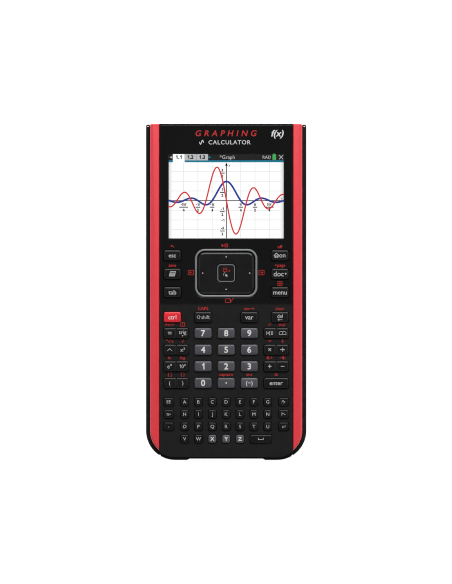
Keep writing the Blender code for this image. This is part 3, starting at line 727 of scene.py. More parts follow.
MATT = {"Specular_IOR_Level": 0.22}
SATIN = {"Specular_IOR_Level": 0.33}
PICTURE = {
    "dark": linear(36, 36, 36),
    "grey": linear(186, 188, 190),
    "grid": linear(232, 235, 236),
    "ink": linear(16, 16, 18),
    "teal": linear(34, 122, 148),
    "green": linear(74, 168, 92),
    "blue": linear(42, 60, 152),
    "red": linear(214, 44, 48),
}
MATERIALS = {
    "shell": moulded("deck_plastic", linear(26, 26, 26), 0.5, **MATT),
    "rear": moulded("rear_plastic", linear(27, 27, 27), 0.48, 0.3, 0.006, **MATT),
    "cover": moulded("cover_plastic", linear(29, 30, 31), 0.42, 0.35, 0.005, **MATT),
    "gloss": polished("bezel_plastic", linear(17, 17, 17)),
    "pad": moulded("pad_plastic", linear(29, 29, 29), 0.22, 0.2, 0.0004, **SATIN),
    "key": moulded("key_plastic", linear(28, 28, 28), 0.24, 0.25, 0.0004, **MATT),
    "number": moulded("number_plastic", linear(83, 82, 88), 0.34, 0.25, 0.0005, **SATIN),
    "control": moulded("control_plastic", linear(240, 46, 58), 0.34, 0.25, 0.0005, **SATIN),
    "rail": lacquer("rail_lacquer", linear(237, 62, 73)),
    "trim": brushed("ring_lacquer", linear(140, 141, 143), 0.5, 0.3),
    "steel": brushed("screw_steel", (0.5, 0.5, 0.5), 0.3),
    "brass": brushed("contact_brass", (0.75, 0.55, 0.22), 0.28),
    "frame": polished("white_moulding", (0.7, 0.7, 0.68), 0.3),
    "board": circuit_board("board"),
    "rubber": moulded("membrane_rubber", (0.1, 0.1, 0.11), 0.8, 0.4, 0.004),
    "cell": moulded("cell_wrap", (0.05, 0.12, 0.3), 0.45, 0.6, 0.002),
    "white_ink": ink("white_ink", linear(232, 232, 232)),
    "pale_ink": ink("pale_ink", linear(200, 200, 200)),
    "red_ink": ink("red_ink", linear(200, 50, 48)),
    "silver_ink": ink("silver_ink", linear(128, 129, 132)),
    "glass_edge": polished("panel_glass", (0.03, 0.03, 0.035), 0.1),
    # The page's white carries painted shade along its left and right edges
    "picture_page": page("picture_page", extent("display_window")[1].x),
    **{"picture_" + name: lit("picture_" + name, colour).material for name, colour in PICTURE.items()},
    "window": clear_window(),
}


# Keys

# A cap's edge as (inset, drop): a small round, then a chamfer that catches the light
EDGE = ((0, 0.56), (0.02, 0.42), (0.06, 0.32), (0.1, 0.26), (0.14, 0.235), (0.5, 0.07), (0.57, 0.042))
EDGE_WIDTH = 0.65
# How far in from there, as a share of the half width, and how low, as a share of the crown
CROWN = ((0.0, 0.9), (0.25, 0.5), (0.55, 0.15), (0.85, 0.0))
# A rocker key: the groove between its halves, and the web that joins them under it
ROCKER_GROOVE, WEB_INSET, WEB_FOOT, WEB_DROP = 0.16, (1, 0.8), 0.7, 0.3
# The upper surfaces that printing is laid on, by node
SURFACES = {}


def cap_rings(centre, size, under, top, corners=(CORNER, CORNER), crown=0.12, scale=0.8):
    """A key cap's rings from the underside of its flange, over a rounded edge, to its domed top."""
    flange = rounded_box(grown(size, FLANGE), corners, centre)
    rings = [(flange, under), (flange, under + FLANGE_THICK)]
    rings.append((rounded_box(size, corners, centre), under + FLANGE_THICK))

    def ring(inset, z):
        radii = tuple(max(radius - inset * 0.6, 0.1) for radius in corners)
        rings.append((rounded_box(grown(size, -inset), radii, centre), z))

    for inset, drop in EDGE:
        ring(inset * scale, top - crown - drop * scale)
    edge = EDGE_WIDTH * scale
    reach = min(size) / 2 - edge
    for share, drop in CROWN:
        ring(edge + share * reach, top - crown * drop)
    return rings


def cap_size(node):
    """A key's cap, without its flange, as (centre, size, underside, top)."""
    low, high = extent(node)
    return *plan(node, -FLANGE), low.z, high.z - 2 * INK


def key_material(node):
    name = node.removeprefix("key_")
    if name.isdigit() or name in ("point", "negate"):
        return "number"
    return "control" if name == "ctrl" else "key"


def make_cap(node):
    """One key, with the finish of its kind."""
    kind = key_material(node)
    mesh = loft(cap_rings(*cap_size(node), crown=0.2 if kind == "number" else 0.12))
    SURFACES[node] = BVHTree.FromBMesh(mesh)
    piece(node.replace("key_", "cap_"), mesh, kind, node, [node])


def make_rocker(node):
    """A wide key in two halves that meet at a shallow groove."""
    centre, size, under, top = cap_size(node)
    half = (size[0] - ROCKER_GROOVE) / 2
    web = (size[0] - WEB_INSET[0], size[1] - WEB_INSET[1])
    parts = [
        prism(rounded_box(grown(size, FLANGE), CORNER, centre), under, under + FLANGE_THICK),
        prism(rounded_box(web, CORNER, centre), under + WEB_FOOT, top - WEB_DROP),
    ]
    for side in (-1, 1):
        at = (centre[0] + side * (half + ROCKER_GROOVE) / 2, centre[1])
        corners = (CORNER, 0.3) if side < 0 else (0.3, CORNER)
        parts.append(loft(cap_rings(at, (half, size[1]), under, top, corners)[2:]))
    mesh = joined(parts)
    SURFACES[node] = BVHTree.FromBMesh(mesh)
    piece(node.replace("rocker_", "rocker_cap_"), mesh, "key", node, [node])


def letter_places(node, row):
    """The centre and the width of each small key in a row."""
    low, high = extent(node)
    y = (low.y + high.y) / 2
    first = low.x + STRIP_MARGIN
    last = high.x - STRIP_MARGIN
    columns = [(-3 + i) * LETTER_PITCH for i in range(7)]
    if row[-1] == "space":
        space_low = columns[5] - LETTER / 2
        places = [((x, y), LETTER) for x in columns[:5]]
        return [*places, (((space_low + last) / 2, y), last - space_low)]
    side = SIDE_LETTER_WIDTH
    places = [((first + side / 2, y), side)]
    places += [((x, y), LETTER) for x in columns]
    return [*places, ((last - side / 2, y), side)]


def make_letter_row(number, row):
    """A row of small keys on its moulded strip."""
    node = f"letter_keys_row_{number}"
    low, high = extent(node)
    caps = {"key": [block((low.x, high.x), (low.y, high.y), (low.z, low.z + FLANGE_THICK))], "number": []}
    for (centre, width), legend in zip(letter_places(node, row), row):
        rings = cap_rings(centre, (width, LETTER), low.z, high.z - 2 * INK, crown=0.06, scale=0.55)[2:]
        caps["number" if legend in GREY_LETTERS else "key"].append(loft(rings))
    shapes = {kind: joined(parts) for kind, parts in caps.items()}
    whole = joined([shape.copy() for shape in shapes.values()])
    SURFACES[node] = BVHTree.FromBMesh(whole)
    whole.free()
    piece(f"letter_caps_{number}", shapes["key"], "key", node, [node])
    if caps["number"]:
        piece(f"letter_caps_{number}_grey", shapes["number"], "number", node)


# Legends


def on_key(node, shapes, finish="pale_ink", suffix=""):
    """Printing on one key."""
    name = "legend_" + node.replace("key_", "").replace("rocker_", "").replace("letter_keys_", "")
    printed(name + suffix, shapes, finish, node, SURFACES[node])


def on_half(node, side, up=0.0):
    """Where the legend goes on one half of a rocker key: a little out from the middle of the half."""
    (x, y), size, _, _ = cap_size(node)
    return x + side * (size[0] / 4 + 0.15), y + up


def above(node, side=0):
    """Where the red legend goes above a key, or above one half of a rocker key."""
    (x, y), size, _, _ = cap_size(node)
    up = size[1] / 2 + 2.0
    return on_half(node, side, up) if side else (x, y + up)


def top_of(node):
    """The x and y of the middle of a key's cap, and the z of its top."""
    (x, y), _, _, z = cap_size(node)
    return x, y, z


def boldness(height):
    """How far the ink of a white legend spreads: further in large lettering."""
    return 0.022 if height > 3 else 0.006 if height > 2 else -0.004


def make_legends():
    """White lettering on the keys of the main block."""
    for node, (text, height) in LEGENDS.items():
        centre, size, _, top = cap_size(node)
        finish = "pale_ink" if key_material(node) == "key" else "white_ink"
        on_key(node, [text_mesh(text, height, centre, top, boldness(height), most=size[0] - 1.4)], finish)
    for node, pair in ROCKER_LEGENDS.items():
        _, size, _, top = cap_size(node)
        most = size[0] / 2 - 2
        shapes = []
        for side, legend in zip((-1, 1), pair):
            x, y = on_half(node, side)
            if not legend:
                shapes.append(sign(*DRAWN[node, side], (x, y), top, 0.22))
            elif legend[0] == "trig":
                shapes.append(text_mesh(*legend, (x, y + 0.55), top, most=most))
                shapes.append(text_mesh("▾", 1.8, (x, y - 1.55), top))
            else:
                shapes.append(text_mesh(*legend, (x, y), top, -0.002, most=most))
        on_key(node, shapes)


def make_letter_legends():
    for number, row in enumerate(LETTER_ROWS, 1):
        node = f"letter_keys_row_{number}"
        z = extent(node)[1].z
        shapes, bright = [], []
        for ((x, y), _), text in zip(letter_places(node, row), row):
            if text == "space":
                line = [(x + dx, y + dy) for dx, dy in ((-1.4, 0.5), (-1.4, -0.4), (1.4, -0.4), (1.4, 0.5))]
                shapes.append(stroke(line, 0.26, z))
            elif text in GREY_LETTERS:
                bright.append(text_mesh(text, 1.95, (x, y), z, 0.03))
            else:
                at = (x, y + 0.6 if text == "," else y)
                shapes.append(text_mesh(text, 1.9 if len(text) == 1 else 1.7, at, z, -0.004))
        on_key(node, shapes)
        if bright:
            on_key(node, bright, "white_ink", "_grey")


def make_notepad_legend():
    """A slanted leaf with dark lines across it."""
    x, y, z = top_of("key_notepad")
    leaf = [(x + dx, y + dy) for dx, dy in ((-1.9, -1.4), (1.3, -1.4), (2.0, 1.4), (-1.2, 1.4))]
    on_key("key_notepad", [flat(leaf, z)])
    lines = []
    for rise, width in ((-0.8, 0.2), (-0.25, 0.2), (0.3, 0.2), (0.85, 0.42)):
        ends = [(x + 0.05 + rise / 4 + side * 1.2, y + rise) for side in (-1, 1)]
        lines.append(stroke(ends, width, z))
    held = printed("legend_notepad_lines", lines, "key", "key_notepad", SURFACES["key_notepad"])
    for vert in held.data.vertices:
        vert.co.z += mm(INK / 2)


def make_drawn_legends():
    """The keys with a drawn mark: a notepad, a house, an arrow, a small triangle or a dot."""
    make_notepad_legend()
    x, y, z = top_of("key_on")
    house = sign("house", 1.2, (x - 2.0, y), z, 0.36)
    on_key("key_on", [house, text_mesh("on", 2.5, (x + 1.3, y + 0.1), z, 0.004)])
    x, y, z = top_of("key_del")
    arrow = sign("erase", 0.5, (x, y - 1.45), z, 0.2)
    on_key("key_del", [text_mesh("del", 1.9, (x, y + 0.6), z, 0.004), arrow])
    x, y, z = top_of("key_doc")
    on_key("key_doc", [text_mesh("doc", 2.75, (x - 0.7, y), z), text_mesh("▾", 2.6, (x + 3.2, y), z)])
    x, y, z = top_of("key_point")
    on_key("key_point", [flat(circle(0.42, (x, y), 16), z)], "white_ink")


def make_second_legends():
    """Red lettering and signs on the deck and the faceplate."""
    z = FRONT + INK
    shapes = []
    for node, text in SECOND.items():
        height = 2.3 if text == "≈" else 1.75
        most = cap_size(node)[1][0] - 0.8
        shapes.append(text_mesh(text, height, above(node), z, 0.004, most=most))
    for node, pair in ROCKER_SECOND.items():
        most = cap_size(node)[1][0] / 2 - 0.8
        for side, text in zip((-1, 1), pair):
            if text:
                shapes.append(text_mesh(text, 1.7, above(node, side), z, 0.004, most=most))
    shapes.append(sign("back", 0.8, above("key_esc"), z, 0.24))
    shapes.append(sign("grid", 1.2, above("key_menu"), z, 0.24))
    shapes.append(sign("roof", 0.8, above("rocker_times_divide", -1), z, 0.26))
    at = above("rocker_equals_trig", 1)
    shapes += [frame_line((2.6, 2.3), 0.4, at, 0.26, z), text_mesh("?", 1.4, at, z)]
    printed("red_legends", shapes, "red_ink", "handheld")


# Body


def opening(node):
    """The outline of the hole that a key comes through."""
    centre, size, _, _ = cap_size(node)
    return rounded_box(grown(size, GAP), OPENING_CORNER, centre, 4)


def upper_nodes():
    """The keys that come through the faceplate."""
    return [node for node in KEY_NODES if middle(node).y > extent("faceplate")[0].y]


def pad_outline(margin):
    """The touchpad ring's outer edge, grown by margin."""
    centre, size = plan("touchpad_ring", margin)
    return rounded_box(size, PAD_CORNER + margin, centre, 8)


def window_outline(margin):
    centre, size = plan("display_window", margin)
    return rounded_box(size, WINDOW_CORNER, centre, 4)


def deck_holes(low, high, shelf_low):
    """Cutters for the keys' openings, and for the pad's and the window's in the shelf under them."""
    holes = [prism(opening(node), shelf_low, high) for node in (*KEY_NODES, *ROCKER_NODES)]
    for number, row in enumerate(LETTER_ROWS, 1):
        for centre, width in letter_places(f"letter_keys_row_{number}", row):
            size = grown((width, LETTER), GAP)
            holes.append(prism(rounded_box(size, CORNER, centre, 4), low, high))
    holes.append(prism(pad_outline(PAD_HOLE_MARGIN), shelf_low, FRONT))
    holes.append(prism(window_outline(WINDOW_HOLE_MARGIN), shelf_low, FRONT))
    return holes


def screw_bosses(shelf):
    """Posts for the case screws, up to the deck or to the shelf under the faceplate."""
    for corner in CORNERS:
        screw = middle("case_screw_" + corner)
        roof = shelf - SIDE_WALL if screw.y > 0 else FRONT - 1
        yield prism(circle(BOSS_RADIUS, (screw.x, screw.y)), extent("front_shell")[0].z, roof)


def make_front_shell():
    """The front casing with a hole for every key, the touchpad and the display."""
    rail = extent("side_rail_right")
    plate_low, plate_high = extent("faceplate")
    low = rail[0].z
    foot = low - PAST
    seat = rail[1].z - RAIL_THICK - GAP
    shelf = plate_low.z - GAP
    reach = plate_high.x - SIDE_WALL
    deck = clipped(body_outline(-DECK_LIP, BODY_HIGH.y), rail[0].x - SEAM)
    keypad = clipped(body_outline(FRONT_INSET + 0.2, plate_low.y), reach)
    display = ((-reach, reach), (plate_low.y - 1, BODY_HIGH.y - FRONT_INSET))
    recess = (ACROSS_ALL, (plate_low.y - GAP, plate_high.y + GAP))
    mesh = shaped(
        prism(deck, low, FRONT),
        add(prism(body_outline(RAIL_THICK + GAP), low, seat)),
        cut(prism(body_outline(FRONT_INSET), foot, seat - LEDGE_THICK)),
        cut(prism(keypad, foot, FRONT - DECK_THICK)),
        cut(block(*display, (foot, shelf - LEDGE_THICK))),
        cut(block(*recess, (shelf, FRONT + 2))),
        add(*screw_bosses(shelf)),
        cut(*deck_holes(FRONT - 2, FRONT + PAST, shelf - 2)),
    )
    piece("front_casing", mesh, "shell", "handheld", ["front_shell"], bevel=0.14)


def make_faceplate():
    """The glossy plate, with a fine rounded edge round each of its openings."""
    low, high = extent("faceplate")
    outlines = [*(opening(node) for node in upper_nodes()), pad_outline(GAP), window_outline(GAP)]
    holes = [prism(outline, low.z - PAST, high.z + PAST) for outline in outlines]
    edge = extent("side_rail_right")[0].x - SEAM
    mesh = shaped(block((-edge, edge), (low.y, high.y), (low.z, high.z)), cut(*holes))
    piece("bezel", mesh, "gloss", "handheld", ["faceplate"], bevel=0.16)


def make_rails():
    """The red rails: flat on top, with a round along the outer edge and a steep slope along the inner."""
    for side in ("left", "right"):
        node = "side_rail_" + side
        low, high = extent(node)
        inner = min(abs(low.x), abs(high.x))
        rings = [(rail_outline(SEAM, inner), low.z)]
        for inset, rise in quarter(RAIL_ROUND, 8):
            edge = inner + RAIL_EDGE * rise / RAIL_ROUND
            rings.append((rail_outline(SEAM + inset, edge), high.z - RAIL_ROUND + rise))
        mesh = shaped(loft(rings), cut(prism(body_outline(RAIL_THICK), low.z - PAST, high.z - RAIL_THICK)))
        if side == "left":
            mesh = mirrored(mesh)
        piece("rail_" + side, mesh, "rail", "handheld", [node], bevel=0.08)


def cover_shape(foot=1.3, rim=0.35):
    """The cover before anything is cut, with a large round at its foot and a small one at its rim."""
    high = extent("slide_cover")[1]
    wall = high.x - BODY_HIGH.x
    rings = [(inset, foot - rise) for inset, rise in reversed(quarter(foot))]
    rings += [(inset, high.z - rim + rise) for inset, rise in quarter(rim)]
    return loft([(body_outline(inset - wall, high.y - inset), z) for inset, z in rings])


def cover_bead():
    """The bead inside the right-hand wall, which runs in the casing's groove."""
    across = (BODY_HIGH.x - 0.6, BODY_HIGH.x + 1)
    along = (BODY_LOW.y + BODY_CORNER + 2, extent("slide_cover")[1].y - 2.6)
    return block(across, along, (GROOVE[0] + GAP, GROOVE[1] - GAP))


def thumb_recess(edge, reach=22.1, ramp=1.4, depth=0.75):
    """The shallow recess with sloping ends in the cover's closed end."""
    outline = [(-reach - ramp, edge - depth), (reach + ramp, edge - depth)]
    outline += [(reach - ramp, edge + depth), (ramp - reach, edge + depth)]
    return prism(outline, *THROUGH)


def cover_notches():
    """A nick below the foot of each rail, and a slot in the rim at each of the cover's open corners."""
    high = extent("slide_cover")[1]
    wall = high.x - BODY_HIGH.x
    rail = extent("side_rail_right")[0].x
    x, y = BODY_HIGH.x - BODY_CORNER, BODY_LOW.y + BODY_CORNER
    drop = math.sqrt((BODY_CORNER + wall) ** 2 - (rail - x) ** 2)
    at = high.x - (wall - GAP) / 2
    nicks = [circle(0.5, (side * rail, y - drop), 16) for side in (-1, 1)]
    slots = [rounded_box((1.3, 0.8), 0.38, (side * at, high.y - 0.9), 4) for side in (-1, 1)]
    return [cut(*(prism(outline, *THROUGH) for outline in outlines)) for outlines in (nicks, slots)]


def ridges(size, first, pitch, count, surface):
    """Shallow grooves across an underside, to push it by."""
    places = [(0, first + pitch * i) for i in range(count)]
    radius = size[1] / 2 - 0.01
    return [prism(rounded_box(size, radius, at, 4), surface - PAST, surface + 0.35) for at in places]


def make_cover():
    """The slide cover: a tray with round edges, a bead along each side and cut-outs in its closed end."""
    edge = extent("slide_cover")[0].y
    mesh = shaped(
        cover_shape(),
        cut(prism(body_outline(-GAP, BODY_HIGH.y + 5), COVER_FLOOR, THROUGH[1])),
        add(cover_bead()),
        add(mirrored(cover_bead())),
        cut(thumb_recess(edge)),
        cut(block((-11.0, 11.0), (edge - 3, BODY_LOW.y + 3), (4.6, 11.2))),
        *cover_notches(),
        cut(*ridges((26, 0.9), edge + 9, 2.2, 6, 0)),
    )
    piece("cover_shell", mesh, "cover", "cover", ["slide_cover"], bevel=0.15)


# Touchpad


def make_ring(width=1.2, rise=0.4, steps=8):
    """The silver ring: a half-round bar bent round the pad."""
    low, high = extent("touchpad_ring")
    foot = high.z - rise
    profile = [(0, low.z), (0, foot)]
    for i in range(1, steps):
        turn = math.radians(180 * i / steps)
        profile.append((width / 2 * (1 - math.cos(turn)), foot + rise * math.sin(turn)))
    profile += [(width, foot), (width, low.z)]
    mesh = loft([(pad_outline(-inset), z) for inset, z in profile], closed=True)
    piece("pad_ring", mesh, "trim", "handheld", ["touchpad_ring"])


def make_plate():
    """The pad: a plate with a wide chamfered edge and a square hole for its button."""
    low, high = extent("touchpad_plate")
    at, size = plan("touchpad_plate")
    rings = [(rounded_box(size, PLATE_CORNER, at, 8), low.z)]
    for inset, drop in PLATE_EDGE:
        rings.append((rounded_box(grown(size, -inset), PLATE_CORNER - inset, at, 8), high.z - drop))
    for growth, z in (*((growth, high.z - drop) for growth, drop in HOLE_EDGE), (0, low.z)):
        side = BUTTON_HOLE + growth
        rings.append((rounded_box((side, side), HOLE_CORNER, at, 8), z))
    mesh = loft(rings, closed=True)
    SURFACES["touchpad_plate"] = BVHTree.FromBMesh(mesh)
    piece("pad_plate", mesh, "pad", "pad_plate", ["touchpad_plate"])
    places = [(at[0], y) for y in (high.y - 2.8, low.y + 2.8)]
    places += [(x, at[1]) for x in (low.x + 2.7, high.x - 2.7)]
    dots = [flat(circle(0.34, place, 16), high.z) for place in places]
    printed("pad_dots", dots, "pale_ink", "pad_plate", SURFACES["touchpad_plate"])


def make_pad_button(edge=0.12):
    """The click button, with the silver line round its edge and its two marks."""
    low, high = extent("touchpad_button")
    at, _ = plan("touchpad_button")
    size = (high.x - low.x, high.x - low.x)
    top = high.z - 2 * INK
    rings = [(rounded_box(size, BUTTON_CORNER, at), low.z)]
    for inset, rise in quarter(edge, 4):
        rings.append((rounded_box(grown(size, -inset), BUTTON_CORNER - inset, at), top - edge + rise))
    piece("click_button", loft(rings), "pad", "pad_button", ["touchpad_button"])
    z = top + INK
    line = frame_line(grown(size, -0.13), 1.75, at, 0.42, z)
    printed("button_outline", [line], "silver_ink", "pad_button")
    x, y = at
    page_mark = sign("screen", 1.1, (x - 0.5, y + 1.8), z, 0.2)
    page_arrow = sign("point", 0.6, (x + 1.5, y + 1.2), z, 0.2)
    printed("button_page_mark", [page_mark, page_arrow], "red_ink", "pad_button")
    x, y = x - 0.5, y - 0.5
    outline = ((0, 0), (0.15, -1.5), (0.55, -1.05), (0.95, -1.65), (1.25, -1.4), (0.85, -0.85), (1.4, -0.65))
    arrow = flat([(x + dx, y + dy) for dx, dy in outline], z)
    swirl = stroke(arc((x + 0.3, y - 0.4), 1.3, 110, 200, 8), 0.16, z)
    printed("button_pointer_mark", [arrow, swirl], "pale_ink", "pad_button")


# Display


def sinc(u):
    return math.sin(math.pi * u) / (math.pi * u) if u else 1.0


def sinc_slope(u):
    """The slope of sinc."""
    turn = math.pi * u
    return (turn * math.cos(turn) - math.sin(turn)) / (math.pi * u * u) if u else 0.0


class Picture:
    """The display's picture, in thin layers between the panel and the window."""

    # The height of the status bar, of the rule along its foot, and the width of a tab
    BAR, RULE, TAB = 4.75, 1.1, 6.6
    # The grid's pitch each way, its lines' numbers from an axis, and the axes' width
    ACROSS, UP = 8.05, 5.44
    STEPS = (-3, -2, -1, 1, 2, 3)
    LINE = 0.45
    # Each curve's name, function, height and width
    CURVES = (("blue", sinc, 10.8, 1.05), ("red", sinc_slope, 13.75, 0.78))

    def __init__(self):
        low, high = extent("display_window")
        self.left, self.right = low.x - 0.1, high.x + 0.1
        self.bottom, self.top = low.y - 0.1, high.y + 0.1
        self.base = extent("lcd_panel")[1].z
        self.bar_foot = self.top - self.BAR
        self.x_axis, self.y_axis = self.bottom + 21.25, 0.15

    def level(self, layer):
        return self.base + INK * (layer + 1)

    def show(self, name, shapes, finish):
        printed("picture_" + name, shapes, "picture_" + finish, "handheld")

    def sheet(self, x, y, layer):
        return flat(rectangle(x, y), self.level(layer))

    def status_bar(self):
        """The dark bar with its tabs, its title and its signs."""
        foot, ceiling = self.bar_foot, self.top - 0.15
        rule_top = foot + self.RULE
        across = (self.left, self.right)
        starts = [self.left + 2.3 + self.TAB * i for i in range(4)]
        tabs = list(zip(starts, starts[1:]))
        self.show("status_bar", [self.sheet(across, (foot, self.top), 0)], "dark")
        self.show("rule", [self.sheet(across, (foot, rule_top), 1)], "teal")
        self.show("tab_open", [self.sheet(tabs[0], (foot, ceiling), 2)], "page")
        shut = [self.sheet((start + 0.1, end), (rule_top, ceiling), 2) for start, end in tabs[1:]]
        self.show("tabs_shut", shut, "grey")
        y = (rule_top + self.top) / 2
        z = self.level(3)
        names = zip(("1.1", "1.2", "1.3"), starts)
        names = [text_mesh(name, 1.9, (x + self.TAB / 2, y), z, 0.05) for name, x in names]
        self.show("tab_names", names, "ink")
        self.show("arrow_right", [text_mesh("▸", 3.4, (starts[-1] + 1.0, y), z)], "teal")
        words = (("◂", 3.4, self.left + 1.2), ("*Graph", 2.0, 0.6), ("RAD", 1.7, 22.9))
        title = [text_mesh(text, height, (x, y), z) for text, height, x in words]
        title += [stroke([(29.9, y - k), (32.0, y + k)], 0.34, z) for k in (-1.1, 1.1)]
        self.show("title", title, "grey")
        cell = (((26.1, 28.1), (y - 1.6, y + 1.5)), ((26.6, 27.6), (y + 1.5, y + 1.9)))
        cell = [self.sheet(*sides, 3) for sides in cell]
        self.show("battery_mark", cell, "green")

    def fraction(self, above, below, centre, width=1.05):
        """A small built-up fraction."""
        (x, y), z = centre, self.level(2)
        line = stroke([(x - width, y), (x + width, y)], 0.55, z)
        pair = ((above, 1.65), (below, -1.65))
        return [line, *(text_mesh(text, 1.4, (x, y + up), z, 0.055) for text, up in pair)]

    def grid(self):
        """Pale lines up and across the page."""
        z = self.level(1)
        tall = (self.bottom + 0.3, self.bar_foot - 0.3)
        wide = (self.left + 0.3, self.right - 0.3)
        columns = [self.y_axis + self.ACROSS * i for i in self.STEPS]
        rows = [self.x_axis + self.UP * i for i in self.STEPS]
        lines = [stroke([(x, y) for y in tall], 0.44, z) for x in columns]
        return lines + [stroke([(x, y) for x in wide], 0.44, z + HAIR) for y in rows]

    def axes(self):
        """The two axes with their arrow, their names and the fractions beside them."""
        x_axis, y_axis, right, top, z = self.x_axis, self.y_axis, self.right, self.bar_foot, self.level(2)
        shapes = [
            stroke([(self.left + 0.3, x_axis), (right - 0.3, x_axis)], self.LINE, z),
            stroke([(y_axis, self.bottom + 0.3), (y_axis, top - 1)], self.LINE, z),
            flat([(y_axis - 0.8, top - 2.0), (y_axis + 0.8, top - 2.0), (y_axis, top - 0.1)], z),
            text_mesh("y", 1.6, (y_axis + 1.7, top - 1.4), z),
            text_mesh("x", 1.6, (right - 1.1, x_axis + 1.4), z),
        ]
        for place in self.STEPS:
            minus = "-" if place < 0 else ""
            above, width = ("3π", 2.2) if abs(place) == 3 else ("π", 1.05)
            at = (y_axis + self.ACROSS * place, x_axis - 3.7)
            shapes += self.fraction(minus + above, "2" if abs(place) == 2 else "4", at, width)
        for place in (3, 1, -1, -3):
            at = (y_axis - 2.3, x_axis + self.UP * place - 0.8)
            shapes += self.fraction(str(place), "2", at)
        return [*shapes, text_mesh("-1", 1.35, (y_axis - 2.0, x_axis - 2 * self.UP - 0.2), z, 0.05)]

    def graph(self):
        """The page with its grid, two axes with their marks, and the two curves."""
        left, right = self.left, self.right
        self.show("page", [self.sheet((left, right), (self.bottom, self.bar_foot), 0)], "page")
        self.show("grid", self.grid(), "grid")
        self.show("axes", self.axes(), "ink")
        xs = [left + (right - left) * i / 240 for i in range(241)]
        for layer, (name, function, height, width) in enumerate(self.CURVES, 3):
            points = [(x, self.x_axis + height * function((x - self.y_axis) / self.ACROSS)) for x in xs]
            self.show("curve_" + name, [stroke(points, width, self.level(layer))], name)


# Marks on the faceplate


def make_faceplate_marks():
    """Plain words over the display, and small page signs round the touchpad."""
    z = FRONT + INK
    upper, lower = 89.3, 84.2
    low, high = extent("touchpad_ring")
    (x, y), _ = plan("touchpad_ring")
    red = [
        text_mesh("GRAPHING", 3.2, (0, upper), z, 0.014, 0.2, spacing=1.7, most=35),
        sign("screen", 0.9, (x + 0.2, high.y + 2.0), z),
        sign("point", 0.8, (x - 1.9, high.y + 2.0), z, turn=-1),
    ]
    for side in (-1, 1):
        at = (x + side * (high.x + 2.3), y + 0.3)
        red += [frame_line((3.2, 2.8), 0.4, at, 0.25, z), sign("point", 0.75, at, z, 0.22, side)]
    red.append(frame_line((3.2, 2.3), 0.4, (x + 1.0, low.y - 1.9), 0.26, z))
    red.append(sign("tick", 1.1, (x + 2.9, low.y - 1.6), z, 0.3))
    printed("red_marks", red, "red_ink", "handheld")
    white = [
        text_mesh("CALCULATOR", 2.3, (1.9, lower), z, spacing=1.15, most=26.5),
        sign("wave", 1.1, (-13.9, lower), z, 0.4),
        text_mesh("f(x)", 3.5, (28.9, upper), z, 0.02, 0.25),
    ]
    printed("white_marks", white, "white_ink", "handheld")


# Connectors and fixings


def facing_end(outline, first, last):
    """A bar along y with its section given as (x, z) points."""
    mesh = prism(outline, first, last)
    for vert in mesh.verts:
        vert.co.y, vert.co.z = vert.co.z, vert.co.y
    bmesh.ops.reverse_faces(mesh, faces=mesh.faces)
    return mesh


def pins(places, half, length, thick):
    """A row of contacts across x."""
    return joined([block((x - half, x + half), length, thick) for x in places])


def make_port():
    """The data port with its tongue and its pins."""
    low, high = extent("usb_port")
    x, z = (low.x + high.x) / 2, (low.z + high.z) / 2
    size = (high.x - low.x, high.z - low.z)
    hole = rounded_box(grown(size, -0.35), 0.5, (x, z))
    outside = facing_end(rounded_box(size, 0.8, (x, z)), low.y, high.y)
    shell = shaped(outside, cut(facing_end(hole, low.y + 1.5, high.y + 2)))
    piece("port_shell", shell, "steel", "handheld", ["usb_port"], bevel=0.08)
    tongue = block((x - 2.4, x + 2.4), (low.y + 1.2, high.y - 0.8), (z - 0.45, z + 0.45))
    piece("port_tongue", tongue, "shell", "handheld", bevel=0.1)
    length, thick = (high.y - 4, high.y - 1), (z - 0.53, z - 0.4)
    piece("port_pins", pins(range(-2, 3), 0.2, length, thick), "brass", "handheld")


def make_dock_pins():
    """The gilt contacts in the dock connector."""
    low, high = extent("dock_connector")
    z = (low.z + high.z) / 2
    length, tall = (low.y + 0.15, low.y + 0.65), (z - 0.9, z + 0.9)
    piece("dock_pins", pins(range(-7, 8, 2), 0.3, length, tall), "brass", "handheld", bevel=0.05)


def make_screw(node):
    """A cross-head screw, head down. The shank is 1 mm in radius and ends in a point."""
    low, high = extent(node)
    at, size = plan(node)
    radius = size[0] / 2
    head = 1.4 if high.z - low.z > 6 else 0.55
    profile = [(radius - 0.35, low.z), (radius - 0.1, low.z + 0.08), (radius, low.z + 0.25)]
    profile += [(radius, low.z + head), (1.0, low.z + head), (1.0, high.z - 0.5), (0.5, high.z)]
    rings = [(circle(reach, at, 48), z) for reach, z in profile]
    heights = (low.z - PAST, low.z + min(0.8, head - 0.15))
    arm, thick = radius * 0.6, 0.22
    cuts = []
    for x, y in ((arm, thick), (thick, arm)):
        cuts.append(cut(block((at[0] - x, at[0] + x), (at[1] - y, at[1] + y), heights)))
    piece(node + "_body", shaped(loft(rings), *cuts), "steel", "handheld", [node])


def make_door():
    """The battery door, with ridges to push it by, and a stepped hole for its screw."""
    low, high = extent("battery_door")
    centre, screw = middle("battery_door").xy, middle("door_screw").xy
    size = (high.x - low.x, high.y - low.y)
    mesh = shaped(
        prism(rounded_box(size, 1.7, centre, 8), low.z, high.z),
        cut(prism(circle(2.2, screw, 48), low.z - PAST, low.z + 0.9)),
        cut(prism(circle(1.3, screw, 48), low.z - PAST, high.z + PAST)),
        cut(*ridges((18, 0.8), low.y + 4, 1.8, 5, low.z)),
    )
    piece("door_panel", mesh, "rear", "handheld", ["battery_door"], bevel=0.12)


# The CAD's own solids


